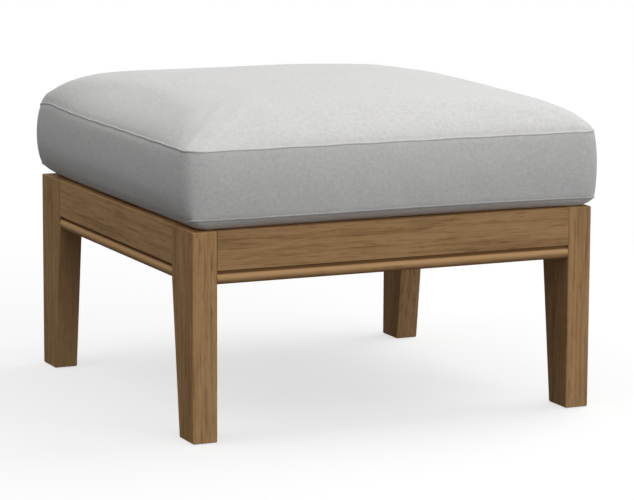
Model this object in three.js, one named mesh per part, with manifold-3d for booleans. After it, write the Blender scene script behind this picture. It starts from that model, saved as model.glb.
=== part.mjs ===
// Outdoor ottoman footstool: a beaded hardwood frame with a slatted deck, and a loose crowned box cushion.
// Millimetres, +Z up. The origin is on the floor under the middle of the footstool.
// +X runs to the right along the front and +Y runs from the front to the back.
import * as THREE from "three";
import Module from "manifold-3d";
import { mergeVertices } from "three/addons/utils/BufferGeometryUtils.js";

// Frame sizes
const frameWidth = 660;
const frameDepth = 650;
const frameHeight = 315;
const edgeEase = 1.2;
const fitGap = 0.3;
const cutOverrun = 2;

// Leg sizes
const legThickness = 38.5;
const legDepthTop = 83;
const legDepthFoot = 54.5;

// Apron sizes
const apronHeight = 79;
const apronThickness = 22;
const apronSetback = 0.5;
const beadHeight = 11;
const grooveHeight = 5.5;
const tenonThickness = 9;
const tenonTopShoulder = 14;
const tenonBottomShoulder = 24;
const frontTenonLength = 24;
const sideTenonLength = 32;

// Deck sizes
const slatWidth = 70;
const slatThickness = 18;
const leastSlatSpace = 12;
const slatEndSpace = 1.5;
const cleatWidth = 25;
const cleatHeight = 24;
const railThickness = 24;
const railHeight = 40;
const railHousing = 8;

// Corner block sizes
const cornerBlockSize = 50;
const cornerBlockHeight = 28;
const cornerBlockTip = 8;

// Screw sizes
const screwHeadRadius = 4;
const screwShankRadius = 2;
const screwBite = 11;
const screwTip = 3;
const screwDriveRadius = 1.5;
const screwDriveDepth = 1.4;
const screwsPerCleat = 3;

// Foot glide sizes
const glideRadius = 11;
const glideThickness = 4;
const glideProud = 1;
const glideEdge = 0.8;
const glideStemRadius = 2.5;
const glideStemLength = 14;

// Cushion outline sizes
const bottomSeamHeight = 18;
const topSeamHeight = 116;
const bottomSeamOverhang = 4.3;
const topSeamOverhang = 8;
const bottomCornerRadius = 18;
const topCornerRadius = 33;
const bottomSeamBow = 3;
const topSeamDraw = 3;
const bandBulge = 5;
const cornerLift = 6;
const crownRise = 66;
const undersideRoll = 26;
const clothThickness = 1.5;
const pipingRadius = 1.6;
const pipingOutset = 0.2;

// Cushion filling sizes
const sleeveThickness = 14;
const foamHeight = 128;
const foamCornerRadius = 30;
const foamEdge = 6;
const sleeveEndSpace = 12;

// Zip sizes
const zipCornerSpace = 70;
const zipSlotHeight = 7;
const zipTapeHeight = 24;
const zipTapeThickness = 0.8;
const zipTeethHeight = 5;
const zipTapeSetback = 1.4;
const zipTapeEnd = 8;
const zipEndSpace = 4;

// Zip slider sizes
const sliderLength = 12;
const sliderHeight = 9;
const sliderThickness = 1.8;
const sliderKeyHeight = 4;
const bridgeLength = 9;
const bridgeWidth = 2.2;
const bridgeThickness = 1.2;
const bridgeSpace = 2.6;
const pullLength = 26;
const pullArmWidth = 1.6;
const pullThickness = 1.4;
const pullEyeLength = 7;
const pullHoleRadius = 1.3;
const pullHoleInset = 4;

// Shares that shape the cushion: how full its crown is and how it falls to the corners.
// The last is the share of the smallest gap within which vertices are one.
const crownFlatShare = 4.3;
const crownFullShare = 0.63;
const cornerFadeShare = 0.18;
const cornerFadePowerShare = 4;
const cornerLiftPowerShare = 4;
const crownCrowdShare = 1.7;
const weldShare = 0.01;

// Step counts of curved faces
const cornerSteps = 5;
const sideSteps = 7;
const crownSteps = 9;
const bandSteps = 6;
const rollSteps = 4;
const pipingSides = 8;
const beadSteps = 10;
const roundSides = 20;
const screwSides = 12;
const sleeveCrownSteps = 6;
const sleeveBandSteps = 2;

// Places worked out from the sizes
const halfWidth = frameWidth / 2;
const halfDepth = frameDepth / 2;
const apronBottom = frameHeight - apronHeight;
const apronInside = apronSetback + apronThickness;
const slatUnderside = frameHeight - slatThickness;
const cleatTop = slatUnderside - fitGap;
const cleatBottom = cleatTop - cleatHeight;
const bottomSeamZ = frameHeight + bottomSeamHeight;
const topSeamZ = frameHeight + topSeamHeight;
const seatZ = frameHeight + fitGap;
const seamClearance = pipingRadius + fitGap;
const fillGap = clothThickness + 2 * fitGap;
const zipLength = frameWidth - 2 * zipCornerSpace;

const wood = { color: "#8a6b4c", roughness: 0.62, metalness: 0 };
const innerWood = { color: "#7a5d40", roughness: 0.7, metalness: 0 };
const cloth = { color: "#d6d5d3", roughness: 0.95, metalness: 0 };
const pipingCloth = { color: "#cbcac8", roughness: 0.95, metalness: 0 };
const foam = { color: "#ece6cf", roughness: 1, metalness: 0 };
const fibre = { color: "#f4f4f2", roughness: 1, metalness: 0 };
const zipTapeCloth = { color: "#b9b8b6", roughness: 0.85, metalness: 0 };
const zipMetal = { color: "#a7a6a2", roughness: 0.35, metalness: 0.9 };
const screwMetal = { color: "#b4b3ae", roughness: 0.35, metalness: 0.95 };
const glidePlastic = { color: "#3b342d", roughness: 0.5, metalness: 0 };

// Vertices that lie closer together than this are one vertex
const weldDistance = fitGap * weldShare;

const wasm = await Module();
wasm.setup();

const ottoman = new THREE.Group();
const frameGroup = new THREE.Group();
const cushionGroup = new THREE.Group();
ottoman.add(frameGroup, cushionGroup);

// Stands a drawing in x and y upright, in Y and Z, with its depth along X.
const uprightAlongX = new THREE.Matrix4().makeBasis(
  new THREE.Vector3(0, 1, 0),
  new THREE.Vector3(0, 0, 1),
  new THREE.Vector3(1, 0, 0),
);

// Solids

function toSolid(geometry) {
  const bare = geometry.clone();
  bare.deleteAttribute("normal");
  bare.deleteAttribute("uv");
  const merged = mergeVertices(bare, weldDistance);
  const mesh = new wasm.Mesh({
    numProp: 3,
    vertProperties: merged.getAttribute("position").array,
    triVerts: new Uint32Array(merged.index.array),
  });
  return new wasm.Manifold(mesh);
}

function toGeometry(solid) {
  const mesh = solid.getMesh();
  const geometry = new THREE.BufferGeometry();
  geometry.setAttribute("position", new THREE.BufferAttribute(mesh.vertProperties, 3));
  geometry.setIndex(new THREE.BufferAttribute(mesh.triVerts, 1));
  geometry.computeVertexNormals();
  return geometry;
}

// One piece less all the cutters.
function cutFrom(geometry, cutters) {
  let solid = toSolid(geometry);
  for (const cutter of cutters) {
    solid = solid.subtract(toSolid(cutter));
  }
  return toGeometry(solid);
}

// Overlapping shapes joined into one piece.
function joined(geometries) {
  let solid = toSolid(geometries[0]);
  for (const geometry of geometries.slice(1)) {
    solid = solid.add(toSolid(geometry));
  }
  return toGeometry(solid);
}

function commonOf(first, second) {
  return toGeometry(toSolid(first).intersect(toSolid(second)));
}

// A box between two corners.
function boxBetween(low, high) {
  const box = new THREE.BoxGeometry(high[0] - low[0], high[1] - low[1], high[2] - low[2]);
  return box.translate((low[0] + high[0]) / 2, (low[1] + high[1]) / 2, (low[2] + high[2]) / 2);
}

// An upright outline drawn in [y, z], drawn out along X from one place to another.
function extrudeAlongX(shape, fromX, toX, ease = 0) {
  const geometry = new THREE.ExtrudeGeometry(shape, {
    depth: toX - fromX - 2 * ease,
    bevelEnabled: ease > 0,
    bevelThickness: ease,
    bevelSize: ease,
    bevelOffset: -ease,
    bevelSegments: 1,
    curveSegments: beadSteps,
  });
  return geometry.applyMatrix4(uprightAlongX).translate(fromX + ease, 0, 0);
}

// A flat outline drawn in [x, y], drawn up from one height to another.
function extrudeUp(shape, fromZ, toZ) {
  const geometry = new THREE.ExtrudeGeometry(shape, { depth: toZ - fromZ, bevelEnabled: false });
  return geometry.translate(0, 0, fromZ);
}

// A polygon whose corners are cut back by a small chamfer.
function easedShape(corners, ease) {
  const points = [];
  corners.forEach((corner, i) => {
    const here = new THREE.Vector2(...corner);
    const before = new THREE.Vector2(...corners[(i + corners.length - 1) % corners.length]);
    const after = new THREE.Vector2(...corners[(i + 1) % corners.length]);
    points.push(before.sub(here).setLength(ease).add(here));
    points.push(after.sub(here).setLength(ease).add(here));
  });
  return new THREE.Shape(points);
}

// A turned piece whose profile is [radius, height] from the axis round to the axis again.
function turned(profile, sides) {
  return new THREE.LatheGeometry(profile.map((point) => new THREE.Vector2(...point)), sides);
}

function addPiece(group, name, geometry, finish) {
  const mesh = new THREE.Mesh(geometry, new THREE.MeshStandardMaterial(finish));
  mesh.name = name;
  group.add(mesh);
  return mesh;
}

// Legs

// Places along one joint of an apron with a leg: the tenon's span across the apron and up it.
const tenonNear = apronSetback + (apronThickness - tenonThickness) / 2;
const tenonFar = tenonNear + tenonThickness;
const tenonBottom = apronBottom + tenonBottomShoulder;
const tenonTop = frameHeight - tenonTopShoulder;

// A front leg's outline in [y, z]: upright outside, tapered inside from under the apron to the foot.
function legOutline() {
  const outside = -halfDepth;
  return easedShape(
    [
      [outside, glideProud],
      [outside + legDepthFoot, glideProud],
      [outside + legDepthTop, apronBottom],
      [outside + legDepthTop, frameHeight],
      [outside, frameHeight],
    ],
    edgeEase,
  );
}

// Mortise for the front apron, in the leg's face that looks along the front.
function frontMortise() {
  const face = -halfWidth + legThickness;
  return boxBetween(
    [face - frontTenonLength - fitGap, -halfDepth + tenonNear - fitGap, tenonBottom - fitGap],
    [face + cutOverrun, -halfDepth + tenonFar + fitGap, tenonTop + fitGap],
  );
}

// Mortise for the side apron, in the leg's inner face.
function sideMortise() {
  const face = -halfDepth + legDepthTop;
  return boxBetween(
    [-halfWidth + tenonNear - fitGap, face - sideTenonLength - fitGap, tenonBottom - fitGap],
    [-halfWidth + tenonFar + fitGap, face + cutOverrun, tenonTop + fitGap],
  );
}

// A glide is a round pad with a stem. Grown a little, it is the cutter for its seat in the foot.
function glideShape(grow) {
  const padRadius = glideRadius + grow;
  const stemRadius = glideStemRadius + grow;
  const easedRim = [
    [padRadius - glideEdge, 0],
    [padRadius, glideEdge],
  ];
  const profile = [
    [0, 0],
    ...(grow > 0 ? [[padRadius, 0]] : easedRim),
    [padRadius, glideThickness + grow],
    [stemRadius, glideThickness + grow],
    [stemRadius, glideThickness + glideStemLength + grow],
    [0, glideThickness + glideStemLength + grow],
  ];
  return turned(profile, roundSides)
    .applyMatrix4(uprightAlongX)
    .translate(-halfWidth + legThickness / 2, -halfDepth + legDepthFoot / 2, 0);
}

function frontLeftLeg() {
  const blank = extrudeAlongX(legOutline(), -halfWidth, -halfWidth + legThickness, edgeEase);
  return cutFrom(blank, [frontMortise(), sideMortise(), glideShape(fitGap)]);
}

// The four corners: which way each lies from the middle.
const cornerPlaces = [
  { place: "front_left", x: 1, y: 1 },
  { place: "front_right", x: -1, y: 1 },
  { place: "back_left", x: 1, y: -1 },
  { place: "back_right", x: -1, y: -1 },
];

// The front left piece, mirrored to each of the other corners.
function addAtCorners(namePart, makeGeometry, finish) {
  for (const corner of cornerPlaces) {
    const mesh = addPiece(frameGroup, `${namePart}_${corner.place}`, makeGeometry(), finish);
    mesh.scale.set(corner.x, corner.y, 1);
  }
}

// Aprons

// An apron's section in [y, z]: a flat face, a groove and a round bead along the bottom edge.
function apronSection(outsideY) {
  const face = outsideY + apronSetback;
  const inside = outsideY + apronInside;
  const beadRadius = beadHeight / 2;
  const grooveFloor = face + beadRadius;
  const grooveBottom = apronBottom + beadHeight;
  const grooveTop = grooveBottom + grooveHeight;
  const section = new THREE.Shape();
  section.moveTo(inside, apronBottom);
  section.lineTo(inside, frameHeight - edgeEase);
  section.lineTo(inside - edgeEase, frameHeight);
  section.lineTo(face + edgeEase, frameHeight);
  section.lineTo(face, frameHeight - edgeEase);
  section.lineTo(face, grooveTop);
  section.lineTo(grooveFloor, grooveTop);
  section.lineTo(grooveFloor, grooveBottom);
  section.absarc(grooveFloor, apronBottom + beadRadius, beadRadius, Math.PI / 2, (Math.PI * 3) / 2, false);
  section.closePath();
  return section;
}

// An apron that runs along X between two shoulders, with a tenon at each end.
function apronWithTenons(outsideY, halfLength, tenonLength) {
  const rail = extrudeAlongX(apronSection(outsideY), -halfLength, halfLength);
  const tenons = boxBetween(
    [-halfLength - tenonLength, outsideY + tenonNear, tenonBottom],
    [halfLength + tenonLength, outsideY + tenonFar, tenonTop],
  );
  return joined([rail, tenons]);
}

// Screws that hold a cleat to its apron

function screwPlaces() {
  const spacing = (frameWidth - 2 * legThickness) / screwsPerCleat;
  const middle = (screwsPerCleat - 1) / 2;
  return Array.from({ length: screwsPerCleat }, (_, i) => (i - middle) * spacing);
}

const cleatFar = -halfDepth + apronInside + fitGap + cleatWidth;
const screwLength = cleatWidth + fitGap + screwBite;
const screwHeight = (cleatTop + cleatBottom) / 2;

// A countersunk screw that points to the front. Grown a little, it is the cutter for its hole.
function screwShape(x, grow) {
  const headRadius = screwHeadRadius + grow;
  const shankRadius = screwShankRadius + grow;
  const neck = screwHeadRadius - screwShankRadius;
  const drive = [
    [0, screwDriveDepth],
    [screwDriveRadius, screwDriveDepth],
    [screwDriveRadius, 0],
  ];
  const mouth = [
    [0, -cutOverrun],
    [headRadius, -cutOverrun],
  ];
  const body = [
    [headRadius, 0],
    [shankRadius, neck],
    [shankRadius, screwLength - screwTip + grow],
    [0, screwLength + grow],
  ];
  return turned([...(grow > 0 ? mouth : drive), ...body], screwSides)
    .rotateZ(Math.PI)
    .translate(x, cleatFar, screwHeight);
}

function frontApron() {
  const shoulder = halfWidth - legThickness - fitGap;
  const blank = apronWithTenons(-halfDepth, shoulder, frontTenonLength);
  return cutFrom(blank, screwPlaces().map((x) => screwShape(x, fitGap)));
}

function frontCleat() {
  const end = halfWidth - legThickness - fitGap;
  const near = -halfDepth + apronInside + fitGap;
  const outline = easedShape(
    [
      [near, cleatBottom],
      [cleatFar, cleatBottom],
      [cleatFar, cleatTop],
      [near, cleatTop],
    ],
    edgeEase,
  );
  return cutFrom(extrudeAlongX(outline, -end, end), screwPlaces().map((x) => screwShape(x, fitGap)));
}

// The middle rail's section where it is let into the side aprons, and the rail itself.
const railEnd = halfWidth - apronInside + railHousing;

function railBox(grow) {
  return boxBetween(
    [-railEnd - grow, -railThickness / 2 - grow, cleatTop - railHeight - grow],
    [railEnd + grow, railThickness / 2 + grow, cleatTop + grow],
  );
}

// The left apron is drawn along X and turned to run along Y.
function leftApron() {
  const shoulder = halfDepth - legDepthTop - fitGap;
  const blank = apronWithTenons(-halfWidth, shoulder, sideTenonLength).rotateZ(-Math.PI / 2);
  return cutFrom(blank, [railBox(fitGap)]);
}

// Deck

const deckHalf = halfWidth - legThickness - fitGap;
const slatCount = Math.floor((2 * deckHalf + leastSlatSpace) / (slatWidth + leastSlatSpace));
const slatPitch = slatCount > 1 ? (2 * deckHalf - slatWidth) / (slatCount - 1) : 0;

// A slat runs from the front apron to the back one, with its long arrises eased.
function deckSlat() {
  const half = slatWidth / 2;
  const end = halfDepth - apronInside - slatEndSpace;
  const outline = easedShape(
    [
      [-half, slatUnderside],
      [half, slatUnderside],
      [half, frameHeight],
      [-half, frameHeight],
    ],
    edgeEase,
  );
  return extrudeAlongX(outline, -end, end, edgeEase).rotateZ(-Math.PI / 2);
}

function addSlats() {
  for (let i = 0; i < slatCount; i++) {
    const geometry = deckSlat().translate(i * slatPitch - deckHalf + slatWidth / 2, 0, 0);
    addPiece(frameGroup, `slat_${i + 1}`, geometry, wood);
  }
}

// A three-cornered block glued between the leg and the front apron, under the cleat.
function cornerBlock() {
  const x = -halfWidth + legThickness + fitGap;
  const y = -halfDepth + apronInside + fitGap;
  const outline = new THREE.Shape([
    new THREE.Vector2(x, y),
    new THREE.Vector2(x + cornerBlockSize, y),
    new THREE.Vector2(x + cornerBlockSize, y + cornerBlockTip),
    new THREE.Vector2(x + cornerBlockTip, y + cornerBlockSize),
    new THREE.Vector2(x, y + cornerBlockSize),
  ]);
  const top = cleatBottom - fitGap;
  return extrudeUp(outline, top - cornerBlockHeight, top);
}

// Cushion

// Joins closed rings of equally many points, in order, into one closed surface.
// A ring of one point closes the surface in a pole. Without poles the last ring is joined to the first.
function loft(rings) {
  const positions = rings.flat().flatMap((point) => [point.x, point.y, point.z]);
  const starts = [];
  rings.reduce((start, ring) => {
    starts.push(start);
    return start + ring.length;
  }, 0);
  const hoop = rings[0].length > 1;
  const faces = [];
  const pairs = hoop ? rings.length : rings.length - 1;
  for (let i = 0; i < pairs; i++) {
    const j = (i + 1) % rings.length;
    const count = Math.max(rings[i].length, rings[j].length);
    for (let k = 0; k < count; k++) {
      const next = (k + 1) % count;
      const [a, b] = [k, next].map((step) => starts[i] + (rings[i].length > 1 ? step : 0));
      const [d, c] = [k, next].map((step) => starts[j] + (rings[j].length > 1 ? step : 0));
      if (a !== b) faces.push(a, b, c);
      if (c !== d) faces.push(a, c, d);
    }
  }
  const geometry = new THREE.BufferGeometry();
  geometry.setAttribute("position", new THREE.Float32BufferAttribute(positions, 3));
  geometry.setIndex(faces);
  geometry.computeVertexNormals();
  return geometry;
}

// A rounded rectangle seen from above, anticlockwise from the right.
// Its sides bow out between the corners by bow, or draw in where bow is negative.
// Each point also says how much it belongs to a corner, from 0 to 1.
function roundedOutline(halfX, halfY, radius, bow) {
  const points = [];
  const signs = [[1, 1], [-1, 1], [-1, -1], [1, -1]];
  signs.forEach(([signX, signY], quarter) => {
    const centre = new THREE.Vector2(signX * (halfX - radius), signY * (halfY - radius));
    const [nextX, nextY] = signs[(quarter + 1) % signs.length];
    const nextCentre = new THREE.Vector2(nextX * (halfX - radius), nextY * (halfY - radius));
    for (let i = 0; i <= cornerSteps; i++) {
      const angle = (quarter + i / cornerSteps) * (Math.PI / 2);
      const point = new THREE.Vector2(radius, 0).rotateAround(new THREE.Vector2(), angle).add(centre);
      points.push({ x: point.x, y: point.y, corner: 1 });
    }
    const outward = (quarter + 1) * (Math.PI / 2);
    const normal = new THREE.Vector2(Math.cos(outward), Math.sin(outward));
    for (let i = 1; i < sideSteps; i++) {
      const along = (2 * i) / sideSteps - 1;
      const point = centre.clone().lerp(nextCentre, i / sideSteps);
      point.addScaledVector(normal, radius + bow * (1 - along ** 2));
      points.push({ x: point.x, y: point.y, corner: Math.abs(along) ** cornerLiftPowerShare });
    }
  });
  return points;
}

// The band's ring at a share of the way up from the bottom seam to the top seam, set in by inset.
function bandRing(share, inset, height) {
  const { lerp } = THREE.MathUtils;
  const swell = bandBulge * 4 * share * (1 - share) - inset;
  const overhang = lerp(bottomSeamOverhang, topSeamOverhang, share) + swell;
  const radius = lerp(bottomCornerRadius, topCornerRadius, share) + swell;
  const bow = lerp(bottomSeamBow, -topSeamDraw, share);
  const lift = cornerLift * share;
  return roundedOutline(halfWidth + overhang, halfDepth + overhang, radius, bow).map(
    (point) => new THREE.Vector3(point.x, point.y, height + lift * point.corner),
  );
}

// The top panel's ring, at reach 1 along the seam and 0 in the middle.
function crownRing(reach, inset, seamHeight) {
  const fullness = (1 - reach ** crownFlatShare) ** crownFullShare;
  const rise = (topSeamZ + crownRise - seamHeight - inset) * fullness;
  return bandRing(1, inset, seamHeight).map((point) => {
    const acrossX = Math.abs(point.x) / halfWidth;
    const acrossY = Math.abs(point.y) / halfDepth;
    const diagonal = (2 * acrossX * acrossY) / (acrossX ** 2 + acrossY ** 2);
    const fade = 1 - cornerFadeShare * diagonal ** cornerFadePowerShare * reach ** 2;
    const lift = (point.z - seamHeight) * reach ** cornerLiftPowerShare;
    return new THREE.Vector3(point.x * reach, point.y * reach, seamHeight + lift + rise * fade);
  });
}

// Reaches from just inside the seam to just short of the middle, crowded where the crown turns down.
function crownReaches(steps) {
  return Array.from({ length: steps - 1 }, (_, i) => 1 - ((i + 1) / steps) ** crownCrowdShare);
}

// Rings of the crown from the seam to its middle point.
function crownRings(inset, seamHeight, steps) {
  const middle = new THREE.Vector3(0, 0, topSeamZ + crownRise - inset);
  const rings = [1, ...crownReaches(steps)].map((reach) => crownRing(reach, inset, seamHeight));
  return [...rings, [middle]];
}

// Rings of the underside from its middle point out to the bottom seam: flat on the deck, then rolled up.
function undersideRings(inset, seamHeight, steps) {
  const seat = seatZ + inset;
  const seam = bandRing(0, inset, seamHeight);
  const rings = Array.from({ length: steps + 1 }, (_, i) => {
    const angle = (i / steps) * (Math.PI / 2);
    const inward = 1 - (undersideRoll / halfWidth) * (1 - Math.sin(angle));
    const height = seamHeight - (seamHeight - seat) * Math.cos(angle);
    return seam.map((point) => new THREE.Vector3(point.x * inward, point.y * inward, height));
  });
  return [[new THREE.Vector3(0, 0, seat)], ...rings];
}

function bandRings(inset, lowHeight, highHeight, steps) {
  return Array.from({ length: steps + 1 }, (_, i) => {
    const share = i / steps;
    return bandRing(share, inset, THREE.MathUtils.lerp(lowHeight, highHeight, share));
  });
}

function topPanel() {
  const seam = topSeamZ + seamClearance;
  const outer = crownRings(0, seam, crownSteps);
  const inner = crownRings(clothThickness, seam, crownSteps).reverse();
  return loft([...inner, ...outer]);
}

function bottomPanel() {
  const seam = bottomSeamZ - seamClearance;
  const outer = undersideRings(0, seam, rollSteps);
  const inner = undersideRings(clothThickness, seam, rollSteps).reverse();
  return loft([...outer, ...inner]);
}

// The band round the four sides, with the slot for the zip in its back.
function bandPanel() {
  const low = bottomSeamZ + seamClearance;
  const high = topSeamZ - seamClearance;
  const outer = bandRings(0, low, high, bandSteps);
  const inner = bandRings(clothThickness, low, high, bandSteps).reverse();
  const slot = boxBetween(
    [-zipLength / 2, zipFace - clothThickness - cutOverrun, zipHeight - zipSlotHeight / 2],
    [zipLength / 2, zipFace + cutOverrun, zipHeight + zipSlotHeight / 2],
  );
  return cutFrom(loft([...outer, ...inner]), [slot]);
}

// A thin round cord of piping that follows a seam.
function piping(share, seamHeight) {
  const rings = Array.from({ length: pipingSides }, (_, i) => {
    const angle = (i / pipingSides) * Math.PI * 2;
    const outset = pipingOutset + pipingRadius * Math.cos(angle);
    return bandRing(share, -outset, seamHeight + pipingRadius * Math.sin(angle));
  });
  return loft(rings);
}

// The filling's whole outline inside the cover.
function fillingShape() {
  const low = bottomSeamZ;
  const high = topSeamZ;
  const underside = undersideRings(fillGap, low, rollSteps);
  const band = bandRings(fillGap + zipPocket, low, high, sleeveBandSteps).slice(1, -1);
  const crown = crownRings(fillGap, high, sleeveCrownSteps);
  return loft([...underside, ...band, ...crown]);
}

// The foam slab, upright sided with rounded corners and eased edges.
// Grown a little, it is the sleeve's hollow.
function foamShape(grow) {
  const halfX = halfWidth - sleeveEndSpace + grow;
  const halfY = halfDepth - sleeveThickness + grow;
  const low = seatZ + fillGap + sleeveThickness / 2 - grow;
  const high = low + foamHeight + 2 * grow;
  const levels = [
    [low, foamEdge],
    [low + foamEdge, 0],
    [high - foamEdge, 0],
    [high, foamEdge],
  ];
  const rings = levels.map(([height, inset]) =>
    roundedOutline(halfX - inset, halfY - inset, foamCornerRadius - inset, 0).map(
      (point) => new THREE.Vector3(point.x, point.y, height),
    ),
  );
  return loft([[new THREE.Vector3(0, 0, low)], ...rings, [new THREE.Vector3(0, 0, high)]]);
}

// A fibre sleeve wrapped over the foam from front to back, open at the left and right ends.
function fibreSleeve() {
  const end = halfWidth - sleeveEndSpace - foamCornerRadius / 2;
  const span = boxBetween(
    [-end, -frameDepth, seatZ - cutOverrun],
    [end, frameDepth, topSeamZ + crownRise + cutOverrun],
  );
  return cutFrom(commonOf(fillingShape(), span), [foamShape(fitGap)]);
}

// Zip

// The band is straight at half its height, so the zip lies there.
const zipHeight = (bottomSeamZ + topSeamZ) / 2;
const zipFace = halfDepth + (bottomSeamOverhang + topSeamOverhang) / 2 + bandBulge;
const zipTeethFace = zipFace - clothThickness / 2;
const zipTapeFace = zipFace - clothThickness - zipTapeSetback;
const zipPocket = zipTapeSetback + zipTapeThickness;

// The tape behind the slot with the closed row of teeth standing in the slot.
function zipTape() {
  const tape = boxBetween(
    [-zipLength / 2 - zipTapeEnd, zipTapeFace - zipTapeThickness, zipHeight - zipTapeHeight / 2],
    [zipLength / 2 + zipTapeEnd, zipTapeFace, zipHeight + zipTapeHeight / 2],
  );
  const teeth = boxBetween(
    [-zipLength / 2 + fitGap, zipTapeFace - zipTapeThickness / 2, zipHeight - zipTeethHeight / 2],
    [zipLength / 2 - fitGap, zipTeethFace, zipHeight + zipTeethHeight / 2],
  );
  return joined([tape, teeth]);
}

const sliderX = zipLength / 2 - zipEndSpace - sliderLength / 2;
const sliderBack = zipFace + fitGap;
const sliderFace = sliderBack + sliderThickness;
const bridgeBack = sliderFace + bridgeSpace;

// The slider's plate on the outside, its key in the slot and the bridge that holds the pull.
function zipSlider() {
  const plate = boxBetween(
    [sliderX - sliderLength / 2, sliderBack, zipHeight - sliderHeight / 2],
    [sliderX + sliderLength / 2, sliderFace, zipHeight + sliderHeight / 2],
  );
  const key = boxBetween(
    [sliderX - sliderLength / 2, zipTeethFace + fitGap, zipHeight - sliderKeyHeight / 2],
    [sliderX + sliderLength / 2, sliderFace - sliderThickness / 2, zipHeight + sliderKeyHeight / 2],
  );
  const bridge = boxBetween(
    [sliderX - bridgeLength / 2, sliderFace - sliderThickness / 2, zipHeight - bridgeWidth / 2],
    [sliderX + bridgeLength / 2, bridgeBack + bridgeThickness, zipHeight + bridgeWidth / 2],
  );
  const underBridge = boxBetween(
    [sliderX - bridgeLength / 2 + bridgeThickness, sliderFace, zipHeight - bridgeWidth],
    [sliderX + bridgeLength / 2 - bridgeThickness, bridgeBack, zipHeight + bridgeWidth],
  );
  return joined([plate, key, cutFrom(bridge, [underBridge])]);
}

// The pull tab, flat along the zip, with an eye whose end bar runs through under the bridge.
function zipPull() {
  const barY = sliderFace + bridgeSpace / 2;
  const halfEye = bridgeWidth / 2 + fitGap;
  const halfTab = halfEye + pullArmWidth;
  const back = barY - pullThickness / 2;
  const front = barY + pullThickness / 2;
  const barEnd = sliderX + pullThickness / 2;
  const tab = boxBetween(
    [barEnd - pullLength, back, zipHeight - halfTab],
    [barEnd, front, zipHeight + halfTab],
  );
  const eye = boxBetween(
    [barEnd - pullThickness - pullEyeLength, back - cutOverrun, zipHeight - halfEye],
    [barEnd - pullThickness, front + cutOverrun, zipHeight + halfEye],
  );
  const holeDepth = pullThickness + 2 * cutOverrun;
  const hole = new THREE.CylinderGeometry(pullHoleRadius, pullHoleRadius, holeDepth, screwSides);
  hole.translate(barEnd - pullLength + pullHoleInset, barY, zipHeight);
  return cutFrom(tab, [eye, hole]);
}

// Assembly

addAtCorners("leg", frontLeftLeg, wood);
addAtCorners("foot_glide", () => glideShape(0), glidePlastic);
addAtCorners("corner_block", cornerBlock, innerWood);
addPiece(frameGroup, "apron_front", frontApron(), wood);
addPiece(frameGroup, "apron_back", frontApron().rotateZ(Math.PI), wood);
addPiece(frameGroup, "apron_left", leftApron(), wood);
addPiece(frameGroup, "apron_right", leftApron().rotateZ(Math.PI), wood);
addPiece(frameGroup, "cleat_front", frontCleat(), innerWood);
addPiece(frameGroup, "cleat_back", frontCleat().rotateZ(Math.PI), innerWood);
addPiece(frameGroup, "middle_rail", railBox(0), innerWood);
addSlats();
screwPlaces().forEach((x, i) => {
  addPiece(frameGroup, `cleat_screw_front_${i + 1}`, screwShape(x, 0), screwMetal);
  addPiece(frameGroup, `cleat_screw_back_${i + 1}`, screwShape(x, 0).rotateZ(Math.PI), screwMetal);
});

addPiece(cushionGroup, "cover_top_panel", topPanel(), cloth);
addPiece(cushionGroup, "cover_band", bandPanel(), cloth);
addPiece(cushionGroup, "cover_bottom_panel", bottomPanel(), cloth);
addPiece(cushionGroup, "piping_top", piping(1, topSeamZ), pipingCloth);
addPiece(cushionGroup, "piping_bottom", piping(0, bottomSeamZ), pipingCloth);
addPiece(cushionGroup, "fibre_sleeve", fibreSleeve(), fibre);
addPiece(cushionGroup, "foam_core", foamShape(0), foam);
addPiece(cushionGroup, "zip_tape", zipTape(), zipTapeCloth);
addPiece(cushionGroup, "zip_slider", zipSlider(), zipMetal);
addPiece(cushionGroup, "zip_pull", zipPull(), zipMetal);

export default ottoman;
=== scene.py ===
"""Outdoor ottoman footstool: the finished look of its hardwood frame and loose crowned cushion.

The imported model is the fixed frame. Lengths are metres, +Z is up and the front faces -Y.
"""
import math

import bmesh
import bpy
from bpy.props import FloatProperty, FloatVectorProperty, IntProperty, PointerProperty
from mathutils import Matrix, Vector


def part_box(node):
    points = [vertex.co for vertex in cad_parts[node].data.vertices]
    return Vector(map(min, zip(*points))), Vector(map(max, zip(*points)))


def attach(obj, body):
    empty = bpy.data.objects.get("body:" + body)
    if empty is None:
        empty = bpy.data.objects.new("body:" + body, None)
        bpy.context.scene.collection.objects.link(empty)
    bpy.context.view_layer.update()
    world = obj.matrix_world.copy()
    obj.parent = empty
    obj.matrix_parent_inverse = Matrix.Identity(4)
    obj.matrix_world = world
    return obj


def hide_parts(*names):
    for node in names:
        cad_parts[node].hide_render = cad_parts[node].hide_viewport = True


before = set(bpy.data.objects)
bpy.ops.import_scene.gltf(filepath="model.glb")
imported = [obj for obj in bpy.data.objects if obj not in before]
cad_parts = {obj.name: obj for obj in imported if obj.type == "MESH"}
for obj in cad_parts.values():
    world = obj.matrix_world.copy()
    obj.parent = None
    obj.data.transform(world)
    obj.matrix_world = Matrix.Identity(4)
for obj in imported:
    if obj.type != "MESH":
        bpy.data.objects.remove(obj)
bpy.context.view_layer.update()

bl_info = {
    "name": "Outdoor ottoman footstool",
    "version": (1, 0, 0),
    "blender": (4, 5, 0),
    "location": "3D View > Sidebar > Footstool",
    "description": "Finishes the footstool's frame, cushion, zip and stage round its packed model",
    "category": "Object",
}

MM = 0.001
CORNERS = ("front_left", "front_right", "back_left", "back_right")
# Points nearer than this are one point
TINY = 0.01 * MM


# Sizes read off the frame

def middle_of(node):
    low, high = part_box(node)
    return (low + high) / 2


def half_of(node):
    low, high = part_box(node)
    return (high - low) / 2


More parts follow.
